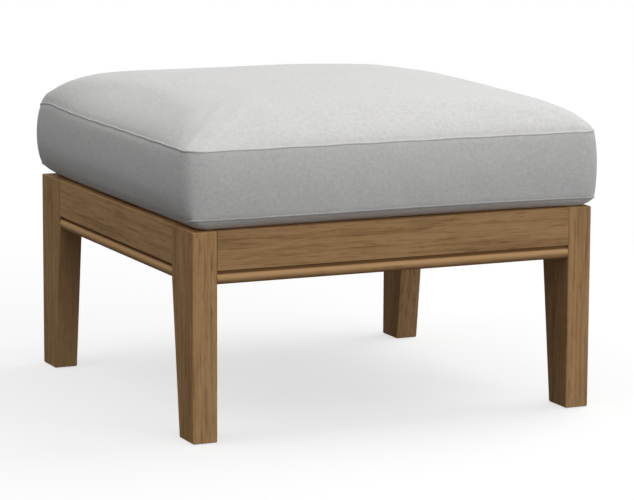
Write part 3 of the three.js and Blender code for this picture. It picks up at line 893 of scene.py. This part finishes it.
def push_rim(mesh, move=(0, 0, 0), grow=(1, 1, 1)):
    """Extrudes the open rim and moves and grows its new edge about the zip."""
    bmesh.ops.extrude_edge_only(mesh, edges=open_rim(mesh))
    verts = list({v for e in open_rim(mesh) for v in e.verts})
    about_zip = Matrix.Translation((0, 0, -ZIP_Z))
    bmesh.ops.scale(mesh, vec=grow, space=about_zip, verts=verts)
    bmesh.ops.translate(mesh, vec=move, verts=verts)


def cut_zip_pocket(piece):
    """Cuts the slot for the zip into the band's back, with a closed pocket that holds the tape."""
    mesh = bmesh.new()
    mesh.from_mesh(piece.data)
    cuts = [((side * ZIP_HALF, 0, ZIP_Z), (1, 0, 0)) for side in (-1, 1)]
    cuts += [((0, 0, ZIP_Z + side * ZIP_SLOT), (0, 0, 1)) for side in (-1, 1)]
    for place, across in cuts:
        near = [
            f for f in mesh.faces
            if f.verts[0].co.y > FRAME_HALF.y and abs(f.verts[0].co.z - ZIP_Z) < 2 * ZIP_HELD
        ]
        edges = {e for f in near for e in f.edges}
        verts = {v for f in near for v in f.verts}
        bmesh.ops.bisect_plane(
            mesh, geom=[*near, *edges, *verts], dist=TINY, plane_co=place, plane_no=across,
        )
    opening = []
    for face in mesh.faces:
        middle = face.calc_center_median()
        if middle.y > FRAME_HALF.y and abs(middle.x) < ZIP_HALF and abs(middle.z - ZIP_Z) < ZIP_SLOT:
            opening.append(face)
    bmesh.ops.delete(mesh, geom=opening, context="FACES")
    lip = open_rim(mesh)
    push_rim(mesh, move=(0, -ZIP_LIP, 0))
    push_rim(mesh, grow=((ZIP_HALF + ZIP_MARGIN) / ZIP_HALF, 1, (ZIP_SLOT + ZIP_MARGIN) / ZIP_SLOT))
    push_rim(mesh, move=(0, -ZIP_POCKET_DEPTH, 0))
    back = bmesh.ops.contextual_create(mesh, geom=open_rim(mesh))["faces"]
    bmesh.ops.triangulate(mesh, faces=back)
    bevel(mesh, lip, ZIP_LIP_ROUNDING, 2)
    finish_edges(mesh, ZIP_LIP_ANGLE)
    mesh.to_mesh(piece.data)
    mesh.free()


# Cloth

# How much darker the gaps between yarns are painted, as painted shade
YARN_GAP_SHADE = 0.1
# Noise in each yarn's own tone: scale along the yarn and weight
WARP_NOISE = (28, 0.22)
WEFT_NOISE = (24, 0.18)
# Noise in the cloth: scales along the weft and the warp, detail, roughness and weight in its tone
CLOTH_NOISE = {
    "slubs": (310, 70, 2.0, 0.6, 0.15),
    "cross slubs": (75, 290, 2.0, 0.6, 0.15),
    "mottle": (170, 170, 2.0, 0.6, 0.24),
    "clouds": (16, 11, 3.0, 0.5, 0.06),
}


def weave(name, settings, tint):
    """Plain weave of mixed light and grey yarns that follows the cloth map."""
    finish = Finish(name)
    where = finish.node("ShaderNodeUVMap", {"uv_map": "cloth"}, {})
    u, v, _ = finish.parts(where)
    turn = math.pi / settings.yarn
    warp, weft = (u * turn).sine(), (v * turn).sine()
    over = 0.5 + 0.5 * (warp * weft)
    height = (warp * warp) * over + (weft * weft) * (1 - over)
    along_warp, warp_weight = WARP_NOISE
    along_weft, weft_weight = WEFT_NOISE
    warp_tone = finish.noise(where, (1 / settings.yarn, along_warp, 1), 2.0, 0.6) - 0.5
    weft_tone = finish.noise(where, (along_weft, 1 / settings.yarn, 1), 2.0, 0.6) - 0.5
    tone = tint + warp_tone * warp_weight * over + weft_tone * weft_weight * (1 - over)
    layers = {}
    for layer, (across, along, detail, roughness, weight) in CLOTH_NOISE.items():
        layers[layer] = finish.noise(where, (across, along, 1), detail, roughness) - 0.5
        tone = tone + layers[layer] * weight
    return finish.surface(
        Base_Color=finish.tinted(settings.cloth, tone - (1 - height) * YARN_GAP_SHADE),
        Roughness=0.9, Specular_IOR_Level=0.15, Sheen_Weight=0.12, Sheen_Roughness=0.6,
        Normal=finish.bump(height + layers["slubs"], 0.18 * MM, 0.5),
    )


class FOOTSTOOL_OT_cover(bpy.types.Operator):
    """Make the cushion's cover and fill it"""

    bl_idname = "footstool.cover"
    bl_label = "Make the cover"

    def execute(self, context):
        settings = context.scene.footstool_cushion
        form = CushionForm()
        mesh = gridded_cube(settings.columns, settings.rows)
        mesh.normal_update()
        lay_cloth_map(mesh, form)
        held = mesh.verts.layers.deform.verify()
        depths = []
        for vertex in mesh.verts:
            place = form.point(vertex.co)
            vertex[held][0] = held_share(vertex.co, place)
            depths.append(form.crease_at(vertex.co))
            vertex.co = place
        cover = add_piece("cushion_cover", mesh, NO_EDGE_SHARP)
        cover.vertex_groups.new(name="held")
        fill_with_pressure(cover, settings)
        settle_folds(cover, settings.settling)
        draw_in_seams(cover, depths)
        subdivide_once(cover)
        cut_zip_pocket(cover)
        cloth = weave("cover cloth", settings, 1.0)
        nodes = ("cover_top_panel", "cover_band", "cover_bottom_panel")
        dress(cover, cloth, "cushion", "cover_cloth", *nodes)
        return {"FINISHED"}


# Piping

PIPING_RADIUS = 1.8 * MM
PIPING_SIDES = 12
PIPING_STEPS = 110
# How far out from its seam the piping lies, by the seam's share of the band's height, and how much
# further in the bottom one lies on the left
PIPING_OUTSETS = {1: -1.8 * MM, 0: -1.5 * MM}
LEFT_INSET = 1.2 * MM


def seam_frames(form, share):
    """Matrices round the seam at that share of the band's height: Z runs along it and X points out."""
    corners = [(1, -1), (1, 1), (-1, 1), (-1, -1)]
    points, outsets = [], []
    for (u0, v0), (u1, v1) in zip(corners, corners[1:] + corners[:1]):
        for step in range(PIPING_STEPS):
            t = step / PIPING_STEPS
            u, v = form.crowd(u0 + (u1 - u0) * t), form.crowd(v0 + (v1 - v0) * t)
            points.append(form.band(u, v, share))
            outsets.append(PIPING_OUTSETS[share] - (0 if share else LEFT_INSET * form.leftness(u, v)))
    frames = []
    neighbours = zip(points[-1:] + points, points, points[1:] + points[:1])
    for (before, here, after), outset in zip(neighbours, outsets):
        along = (after - before).normalized()
        out = along.cross(Vector((0, 0, 1))).normalized()
        turn = Matrix((out, along.cross(out), along)).transposed().to_4x4()
        frames.append(Matrix.Translation(here + out * outset) @ turn)
    return frames


def swept_hoop(name, frames):
    """A closed tube whose round section is swept through the frames, with a cloth map along it."""
    mesh = bmesh.new()
    ring_of = mesh.verts.layers.int.new("ring")
    side_of = mesh.verts.layers.int.new("side")
    bmesh.ops.create_circle(mesh, segments=PIPING_SIDES, radius=PIPING_RADIUS, matrix=frames[0])
    for side, vertex in enumerate(mesh.verts):
        vertex[side_of] = side
    first = edges = list(mesh.edges)
    for ring, (before, here) in enumerate(zip(frames, frames[1:]), 1):
        made = bmesh.ops.extrude_edge_only(mesh, edges=edges)["geom"]
        verts = [g for g in made if isinstance(g, bmesh.types.BMVert)]
        bmesh.ops.transform(mesh, matrix=here @ before.inverted(), verts=verts)
        for vertex in verts:
            vertex[ring_of] = ring
        edges = [g for g in made if isinstance(g, bmesh.types.BMEdge) and all(v in verts for v in g.verts)]
    bmesh.ops.bridge_loops(mesh, edges=first + edges)
    bmesh.ops.recalc_face_normals(mesh, faces=mesh.faces)
    layer = mesh.loops.layers.uv.new("cloth")
    step = (frames[1].translation - frames[0].translation).length
    for face in mesh.faces:
        rings = [loop.vert[ring_of] for loop in face.loops]
        turns = [loop.vert[side_of] for loop in face.loops]
        for loop, ring, side in zip(face.loops, rings, turns):
            ring += len(frames) if max(rings) - ring > len(frames) / 2 else 0
            side += PIPING_SIDES if max(turns) - side > PIPING_SIDES / 2 else 0
            loop[layer].uv = (ring * step, side * 2 * math.pi * PIPING_RADIUS / PIPING_SIDES)
    return add_piece(name, mesh, NO_EDGE_SHARP)


class FOOTSTOOL_OT_piping(bpy.types.Operator):
    """Lay the piping round both seams"""

    bl_idname = "footstool.piping"
    bl_label = "Lay the piping"

    def execute(self, context):
        settings = context.scene.footstool_cushion
        # The cords share the cover's weave, painted darker: the top one a little to dim its highlight, the
        # bottom one more as painted shade under the band's edge
        for node, share, tint in (("piping_top", 1, 0.94), ("piping_bottom", 0, 0.83)):
            hoop = swept_hoop(f"{node}_cord", seam_frames(CushionForm(), share))
            dress(hoop, weave(f"{node} cloth", settings, tint), "cushion", "piping_cloth", node)
        return {"FINISHED"}


# Filling

FOAM_CORNER = 30 * MM
FOAM_EDGE = 6 * MM
# The filled cover clears its filling, which is drawn in to these shares of its solid
FILLING_SHARES = Vector((0.98, 0.98, 0.95))


def filling_piece(name, mesh, node):
    """A filling drawn in a little about the middle of its underside."""
    middle = middle_of(node)
    middle.z = SEAT_Z
    bmesh.ops.translate(mesh, vec=-middle, verts=mesh.verts)
    bmesh.ops.scale(mesh, vec=FILLING_SHARES, verts=mesh.verts)
    bmesh.ops.translate(mesh, vec=middle, verts=mesh.verts)
    return add_piece(name, mesh, SHARP_ANGLE)


def foam_block():
    """The foam, with round upright corners and eased edges."""
    mesh = bmesh.new()
    bmesh.ops.create_cube(mesh, size=2)
    bmesh.ops.scale(mesh, vec=half_of("foam_core"), verts=mesh.verts)
    bmesh.ops.translate(mesh, vec=middle_of("foam_core"), verts=mesh.verts)
    bevel(mesh, edges_along(mesh, 2, MM), FOAM_CORNER, 8)
    bevel(mesh, [e for e in mesh.edges if e.calc_face_angle() > 1], FOAM_EDGE, 3)
    return mesh


def foam_finish():
    finish = Finish("open cell foam")
    place = finish.place()
    cells = finish.node(
        "ShaderNodeTexVoronoi", {"feature": "DISTANCE_TO_EDGE"}, {"Vector": place, "Scale": 900.0},
    )
    clouds = finish.noise(place, (14, 14, 14), 3.0)
    # Painted shade: the foam is darker along the grooves at its cells' edges
    tone = 0.92 + (clouds - 0.5) * 0.12 + cells.within(0.02, 0.2) * 0.1
    return finish.surface(
        Base_Color=finish.tinted((0.84, 0.79, 0.62), tone),
        Roughness=0.95, Specular_IOR_Level=0.1,
        Normal=finish.bump(cells, 0.4 * MM, 0.7),
    )


def wadding_finish():
    finish = Finish("fibre wadding")
    place = finish.place()
    tufts = finish.noise(place, (55, 55, 55), 4.0, 0.65)
    hairs = finish.noise(place, (900, 240, 500), 3.0, 0.7)
    tone = 0.9 + (tufts - 0.5) * 0.16 + (hairs - 0.5) * 0.1
    return finish.surface(
        Base_Color=finish.tinted((0.9, 0.9, 0.88), tone),
        Roughness=0.97, Specular_IOR_Level=0.1, Sheen_Weight=0.3,
        Normal=finish.bump(tufts + hairs * 0.4, 2 * MM, 0.6),
    )


class FOOTSTOOL_OT_filling(bpy.types.Operator):
    """Make the foam slab and the wadding wrapped round it"""

    bl_idname = "footstool.filling"
    bl_label = "Make the filling"

    def execute(self, context):
        fillings = (
            ("foam_slab", "foam_core", foam_block(), foam_finish(), "foam", 0.9),
            (
                "fibre_wadding", "fibre_sleeve", merged_copy("fibre_sleeve"), wadding_finish(),
                "fibre_fill", 0.5,
            ),
        )
        for name, node, mesh, material, slot, fill in fillings:
            piece = filling_piece(name, mesh, node)
            dress(piece, material, "cushion", slot, node)
        return {"FINISHED"}


# Zip

TAPE_THICKNESS = 0.8 * MM
TAPE_SPLIT = 0.3 * MM
TOOTH_PITCH = 1.3 * MM
TOOTH_WIDTH = 0.75 * TOOTH_PITCH
TOOTH_LENGTH = 3.2 * MM
TOOTH_OFFSET = 0.7 * MM
STITCH_PITCH = 3.6 * MM
STITCH_SIZE = (0.7 * STITCH_PITCH, 0.5 * MM, 0.45 * MM)
STITCH_ROW = ZIP_SLOT + 2.6 * MM
# How much the edges of the tapes, teeth, stitches and castings are rounded
TAPE_ROUNDING = 0.2 * MM
TOOTH_ROUNDING = 0.3 * MM
STITCH_ROUNDING = 0.15 * MM
CASTING_ROUNDING = 0.25 * MM


def rounded_blocks(name, places, size, radius):
    """Small blocks with rounded edges, one at each place."""
    mesh = bmesh.new()
    for place in places:
        block = Matrix.Translation(place) @ Matrix.Diagonal((*size, 1))
        bmesh.ops.create_cube(mesh, size=1, matrix=block)
    bevel(mesh, list(mesh.edges), radius, 1)
    return add_piece(name, mesh, NO_EDGE_SHARP)


def row_of(count, pitch):
    """The X of each of a row of like pieces about the middle."""
    return [(step - (count - 1) / 2) * pitch for step in range(count)]


def zip_tapes():
    """The two woven tapes, edge to edge behind the teeth."""
    low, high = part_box("zip_tape")
    height = (high.z - low.z) / 2 - TAPE_SPLIT
    rise = height / 2 + TAPE_SPLIT
    places = [(0, low.y + TAPE_THICKNESS / 2, ZIP_Z + side * rise) for side in (-1, 1)]
    return rounded_blocks("zip_tapes", places, (high.x - low.x, TAPE_THICKNESS, height), TAPE_ROUNDING)


def zip_teeth():
    """Two rows of teeth that mesh along the middle of the tapes."""
    low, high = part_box("zip_tape")
    depth = high.y - low.y - TAPE_THICKNESS
    count = int(2 * (ZIP_HALF - TOOTH_PITCH) / TOOTH_PITCH)
    places = [
        (x, high.y - depth / 2, ZIP_Z + (1 if step % 2 else -1) * TOOTH_OFFSET)
        for step, x in enumerate(row_of(count, TOOTH_PITCH))
    ]
    return rounded_blocks("zip_teeth", places, (TOOTH_WIDTH, depth, TOOTH_LENGTH), TOOTH_ROUNDING)


def zip_stitches():
    """Two rows of stitches through the band, beside the slot."""
    count = int(2 * (ZIP_HALF + ZIP_MARGIN / 2) / STITCH_PITCH)
    lean = (CushionForm.top_overhang - CushionForm.bottom_overhang) / (TOP_SEAM_Z - BOTTOM_SEAM_Z)
    places = [
        (x, ZIP_FACE_Y + side * STITCH_ROW * lean, ZIP_Z + side * STITCH_ROW)
        for x in row_of(count, STITCH_PITCH)
        for side in (-1, 1)
    ]
    return rounded_blocks("zip_stitches", places, STITCH_SIZE, STITCH_ROUNDING)


def tape_finish():
    """Herringbone tape of grey yarn."""
    finish = Finish("zip tape weave")
    x, _, z = finish.parts(finish.place())
    ribs = (x * (math.pi / (0.7 * MM)) + (z * (math.pi / (1.4 * MM))).sine() * 1.5).sine()
    height = ribs * ribs
    return finish.surface(
        # Painted shade: the tape is darker in the hollows between its ribs
        Base_Color=finish.tinted((0.5, 0.495, 0.485), 0.82 + height * 0.25),
        Roughness=0.85, Specular_IOR_Level=0.2,
        Normal=finish.bump(height, 0.15 * MM, 0.7),
    )


def thread_finish():
    """Twisted sewing thread."""
    finish = Finish("sewing thread")
    x, y, z = finish.parts(finish.place())
    strands = ((x * 1.6 + z + y) * (math.pi / (0.35 * MM))).sine()
    height = strands * strands
    return finish.surface(
        # Painted shade: the thread is darker in the grooves of its twist
        Base_Color=finish.tinted((0.72, 0.715, 0.7), 0.8 + height * 0.28),
        Roughness=0.6, Specular_IOR_Level=0.3,
        Normal=finish.bump(height, 0.1 * MM, 0.6),
    )


def metal_finish(name, colour, rough):
    """Satin metal with fine scratches and dulled patches."""
    finish = Finish(name)
    place = finish.place()
    scratches = finish.noise(place, (400, 2600, 5200), 3.0, 0.6)
    dull = finish.noise(place, (260, 260, 260), 3.0, 0.6)
    return finish.surface(
        Base_Color=finish.tinted(colour, 0.9 + (dull - 0.5) * 0.24), Metallic=1.0,
        Roughness=rough + (scratches - 0.5) * 0.22 + dull.within(0.5, 0.8) * 0.12,
        Normal=finish.bump(scratches, 0.02 * MM, 0.35),
    )


def teeth_finish():
    """Moulded nylon teeth, a little worn to gloss on their faces."""
    finish = Finish("nylon teeth")
    wear = finish.noise(finish.place(), (900, 900, 900))
    return finish.surface(
        Base_Color=finish.tinted((0.56, 0.555, 0.545), 0.92 + (wear - 0.5) * 0.2),
        Roughness=0.35 + wear * 0.2,
        Normal=finish.bump(wear, 0.04 * MM, 0.4),
    )


class FOOTSTOOL_OT_zip(bpy.types.Operator):
    """Sew in the zip, with its tapes, teeth, slider and pull"""

    bl_idname = "footstool.zip"
    bl_label = "Sew in the zip"

    def execute(self, context):
        nickel = metal_finish("nickel plate", (0.62, 0.61, 0.585), 0.3)
        dress(zip_tapes(), tape_finish(), "cushion", "zip_tape_cloth", "zip_tape")
        dress(zip_teeth(), teeth_finish(), "cushion", "zip_tape_cloth")
        dress(zip_stitches(), thread_finish(), "cushion", "cover_cloth")
        for node in ("zip_slider", "zip_pull"):
            casting = rounded_copy(node, f"{node}_casting", CASTING_ROUNDING, 3)
            dress(casting, nickel, node, "zip_metal", node)
        return {"FINISHED"}


# Glides and screws

# Radii and heights in millimetres, from the foot of the glide and from the head of the screw
GLIDE_PROFILE = [
    (0, 0.4), (5.6, 0.4), (6.2, 0), (9.8, 0), (10.6, 0.25), (11, 0.9), (11, 3.4), (10.7, 4), (3.2, 4),
    (2.5, 4.6), (2.5, 7), (2.15, 7.4), (2.5, 8.4), (2.15, 8.8), (2.5, 9.8), (2.15, 10.2), (2.5, 11.2),
    (2.15, 11.6), (2.5, 12.6), (2.15, 13), (2.5, 14), (2.5, 16.4), (1.6, 18), (0, 18),
]
SCREW_HEAD = [
    (0, 1.4), (1.35, 1.4), (1.5, 1.2), (1.5, 0.15), (1.65, 0), (3.75, 0), (4, 0.25), (3.9, 0.5), (2, 2.3),
]
SCREW_SHANK = (2, 13)
SCREW_THREAD = ((1.3, 0.3), (1.3, 0.9), (2, 1.15), (2, 1.35), (1.3, 1.6))
SCREW_TIP = [(1.2, 33), (0, 36.3)]
# Steps in a full turn of each
GLIDE_STEPS = 40
SCREW_STEPS = 24
THREAD_PITCH = 2
THREAD_TURNS = 10
# Radius and depth of the recess in the screw's head
SCREW_RECESS = (1.5 * MM, 1.4 * MM)
LOBES = 6
LOBE_DEPTH = 0.14


def turned_piece(name, profile, place, steps, recess=None):
    """A piece spun from its profile and stood at a place, with lobes in its recess if it has one."""
    mesh = bmesh.new()
    verts = [mesh.verts.new((radius * MM, 0, height * MM)) for radius, height in profile]
    edges = [mesh.edges.new(pair) for pair in zip(verts, verts[1:])]
    bmesh.ops.spin(
        mesh, geom=verts + edges, cent=(0, 0, 0), axis=(0, 0, 1), angle=2 * math.pi,
        steps=steps, use_merge=True,
    )
    bmesh.ops.remove_doubles(mesh, verts=mesh.verts, dist=TINY)
    if recess:
        radius, depth = recess
        for vertex in mesh.verts:
            flat = vertex.co.xy
            if TINY < flat.length < radius + TINY and vertex.co.z < depth + TINY:
                wave = 1 + LOBE_DEPTH * math.cos(LOBES * math.atan2(flat.y, flat.x))
                vertex.co.x, vertex.co.y = flat * wave
    bmesh.ops.recalc_face_normals(mesh, faces=mesh.faces)
    bmesh.ops.transform(mesh, matrix=place, verts=mesh.verts)
    return add_piece(name, mesh, SHARP_ANGLE)


def screw_profile():
    """The head and shank, then ridges for the thread down to the tip."""
    _, start = SCREW_SHANK
    threads = [
        (radius, start + THREAD_PITCH * turn + rise)
        for turn in range(THREAD_TURNS)
        for radius, rise in SCREW_THREAD
    ]
    return SCREW_HEAD + [SCREW_SHANK] + threads + SCREW_TIP


def glide_finish():
    """Dark moulded plastic, fine grained and scuffed underneath."""
    finish = Finish("moulded plastic")
    place = finish.place()
    grain = finish.noise(place, (1500, 1500, 1500))
    scuffs = finish.noise(place, (240, 1100, 600), 3.0, 0.6)
    return finish.surface(
        Base_Color=finish.tinted((0.045, 0.036, 0.028), 0.9 + scuffs.within(0.55, 0.75) * 0.8),
        Roughness=0.45 + scuffs * 0.25,
        Normal=finish.bump(grain, 0.05 * MM, 0.5),
    )


class FOOTSTOOL_OT_fixings(bpy.types.Operator):
    """Turn the foot glides and the screws that hold the cleats"""

    bl_idname = "footstool.fixings"
    bl_label = "Turn the glides and screws"

    def execute(self, context):
        plastic = glide_finish()
        steel = metal_finish("zinc plate", (0.63, 0.62, 0.59), 0.34)
        for corner in CORNERS:
            node = f"foot_glide_{corner}"
            middle = middle_of(node)
            place = Matrix.Translation((middle.x, middle.y, 0))
            glide = turned_piece(f"{node}_moulding", GLIDE_PROFILE, place, GLIDE_STEPS)
            dress(glide, plastic, "frame", "glide_plastic", node)
        for side, facing in (("front", -1), ("back", 1)):
            for number in (1, 2, 3):
                node = f"cleat_screw_{side}_{number}"
                low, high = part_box(node)
                head = low.y if facing > 0 else high.y
                place = (
                    Matrix.Translation(((low.x + high.x) / 2, head, (low.z + high.z) / 2))
                    @ Matrix.Rotation(-facing * math.pi / 2, 4, "X")
                )
                screw = turned_piece(f"{node}_turned", screw_profile(), place, SCREW_STEPS, SCREW_RECESS)
                dress(screw, steel, "frame", "screw_steel", node)
        return {"FINISHED"}


# Stage

# Each lamp's place, how high it aims, and its width and height
LAMPS = {
    "key": ((1.4, 0.2, 2.3), 0.4, (1.8, 1.8)),
    "front": ((0.6, -3.2, 1.2), 0.3, (2.8, 1.4)),
    "high": ((0.2, -2.1, 2.5), 0.35, (2.4, 1.2)),
    "left": ((-1.6, -0.1, 2.5), 0.4, (1.0, 1.6)),
    "back": ((0.5, 3.3, 0.9), 0.25, (1.8, 1.0)),
}
FLOOR_HALF = 40
# The floor keeps its shadow within the first distance from the middle and is white past the second
FLOOR_FADE = (0.7, 1.6)
# Heights of its direction between which the world's soft light grows
SKY_FADE = (-0.1, 0.8)
FLOOR_GREY = grey(0.4)
FLOOR_GLOW = 0.66
FLOOR_BOUNCE = grey(0.16)
CAMERA_PLACE = Vector((-1.9925, -4.3833, 1.0386))
CAMERA_YAW = math.radians(24.622)
CAMERA_PITCH = math.radians(9.678)
CAMERA_ROLL = math.radians(0.284)
SENSOR_WIDTH = 36
CLIP = (0.1, 100)


def area_lamp(name, power):
    place, height, size = LAMPS[name]
    data = bpy.data.lights.new(name, "AREA")
    data.shape = "RECTANGLE"
    data.size, data.size_y = size
    data.energy = power
    lamp = add_to_scene(name, data)
    lamp.location = place
    lamp.rotation_euler = (Vector((0, 0, height)) - Vector(place)).to_track_quat("-Z", "Y").to_euler()


def background_share(finish):
    """1 for rays that show the background as it is: from the camera, and off or through gloss."""
    path = finish.node("ShaderNodeLightPath", {}, {}, "Is Camera Ray")
    outputs = path.socket.node.outputs
    glossy = Shade(finish, outputs["Is Glossy Ray"])
    through = Shade(finish, outputs["Is Transmission Ray"])
    return path.maths("MAXIMUM", path.maths("MAXIMUM", path, glossy), through)


def white_world(ambient):
    """White to the camera, and soft light from above to the footstool."""
    finish = Finish("plain white", "worlds")
    share = background_share(finish)
    height = finish.parts(finish.node("ShaderNodeTexCoord", {}, {}, "Generated"))[2]
    strength = share + (1 - share) * height.within(*SKY_FADE) * ambient
    light = finish.node("ShaderNodeBackground", {}, {"Color": WHITE, "Strength": strength})
    bpy.context.scene.world = finish.output(light, "ShaderNodeOutputWorld")


def pale_floor():
    """A pale floor that keeps the shadow near the footstool and is plain white further out."""
    mesh = bmesh.new()
    bmesh.ops.create_grid(mesh, x_segments=1, y_segments=1, size=FLOOR_HALF)
    floor = add_piece("floor", mesh, NO_EDGE_SHARP)
    finish = Finish("pale floor")
    share = background_share(finish)
    x, y, _ = finish.parts(finish.place())
    far = ((x * x + y * y) ** 0.5).within(*FLOOR_FADE)
    lit = finish.node("ShaderNodeBsdfDiffuse", {}, {"Color": FLOOR_GREY})
    glow = finish.node("ShaderNodeEmission", {}, {"Color": WHITE, "Strength": FLOOR_GLOW})
    near = finish.node("ShaderNodeAddShader", {}, {0: lit, 1: glow})
    white = finish.node("ShaderNodeEmission", {}, {"Color": WHITE, "Strength": 1.0})
    seen = finish.node("ShaderNodeMixShader", {}, {0: far, 1: near, 2: white})
    dim = finish.node("ShaderNodeBsdfDiffuse", {}, {"Color": FLOOR_BOUNCE})
    shown = finish.node("ShaderNodeMixShader", {}, {0: share, 1: dim, 2: seen})
    floor.data.materials.append(finish.output(shown))


def photo_camera(lens):
    data = bpy.data.cameras.new("camera")
    data.lens = lens
    data.sensor_width = SENSOR_WIDTH
    data.clip_start, data.clip_end = CLIP
    camera = add_to_scene("camera", data)
    turn = (
        Matrix.Rotation(-CAMERA_YAW, 4, "Z")
        @ Matrix.Rotation(math.pi / 2 - CAMERA_PITCH, 4, "X")
        @ Matrix.Rotation(CAMERA_ROLL, 4, "Z")
    )
    camera.matrix_world = Matrix.Translation(CAMERA_PLACE) @ turn
    bpy.context.scene.camera = camera


class FOOTSTOOL_OT_stage(bpy.types.Operator):
    """Set the floor, the lamps and the camera"""

    bl_idname = "footstool.stage"
    bl_label = "Set the stage"

    def execute(self, context):
        settings = context.scene.footstool_stage
        pale_floor()
        white_world(settings.ambient)
        for name in LAMPS:
            area_lamp(name, getattr(settings, name))
        photo_camera(settings.lens)
        context.scene.view_settings.view_transform = "Standard"
        return {"FINISHED"}


class FOOTSTOOL_PT_sidebar(bpy.types.Panel):
    """The footstool's steps in the sidebar"""

    bl_label = "Footstool"
    bl_idname = "FOOTSTOOL_PT_sidebar"
    bl_space_type = "VIEW_3D"
    bl_region_type = "UI"
    bl_category = "Footstool"

    def draw(self, context):
        for step in STEPS:
            self.layout.operator(step.bl_idname)


STEPS = (
    FOOTSTOOL_OT_frame_wood,
    FOOTSTOOL_OT_cover,
    FOOTSTOOL_OT_piping,
    FOOTSTOOL_OT_filling,
    FOOTSTOOL_OT_zip,
    FOOTSTOOL_OT_fixings,
    FOOTSTOOL_OT_stage,
)
GROUPS = {
    "footstool_wood": WoodSettings,
    "footstool_cushion": CushionSettings,
    "footstool_stage": StageSettings,
}


def register():
    for group in (*GROUPS.values(), *STEPS, FOOTSTOOL_PT_sidebar):
        bpy.utils.register_class(group)
    for name, group in GROUPS.items():
        setattr(bpy.types.Scene, name, PointerProperty(type=group))


def unregister():
    for name in GROUPS:
        delattr(bpy.types.Scene, name)
    for group in reversed((*GROUPS.values(), *STEPS, FOOTSTOOL_PT_sidebar)):
        bpy.utils.unregister_class(group)


def main():
    register()
    for step in STEPS:
        group, name = step.bl_idname.split(".")
        getattr(getattr(bpy.ops, group), name)()


if __name__ == "__main__":
    main()
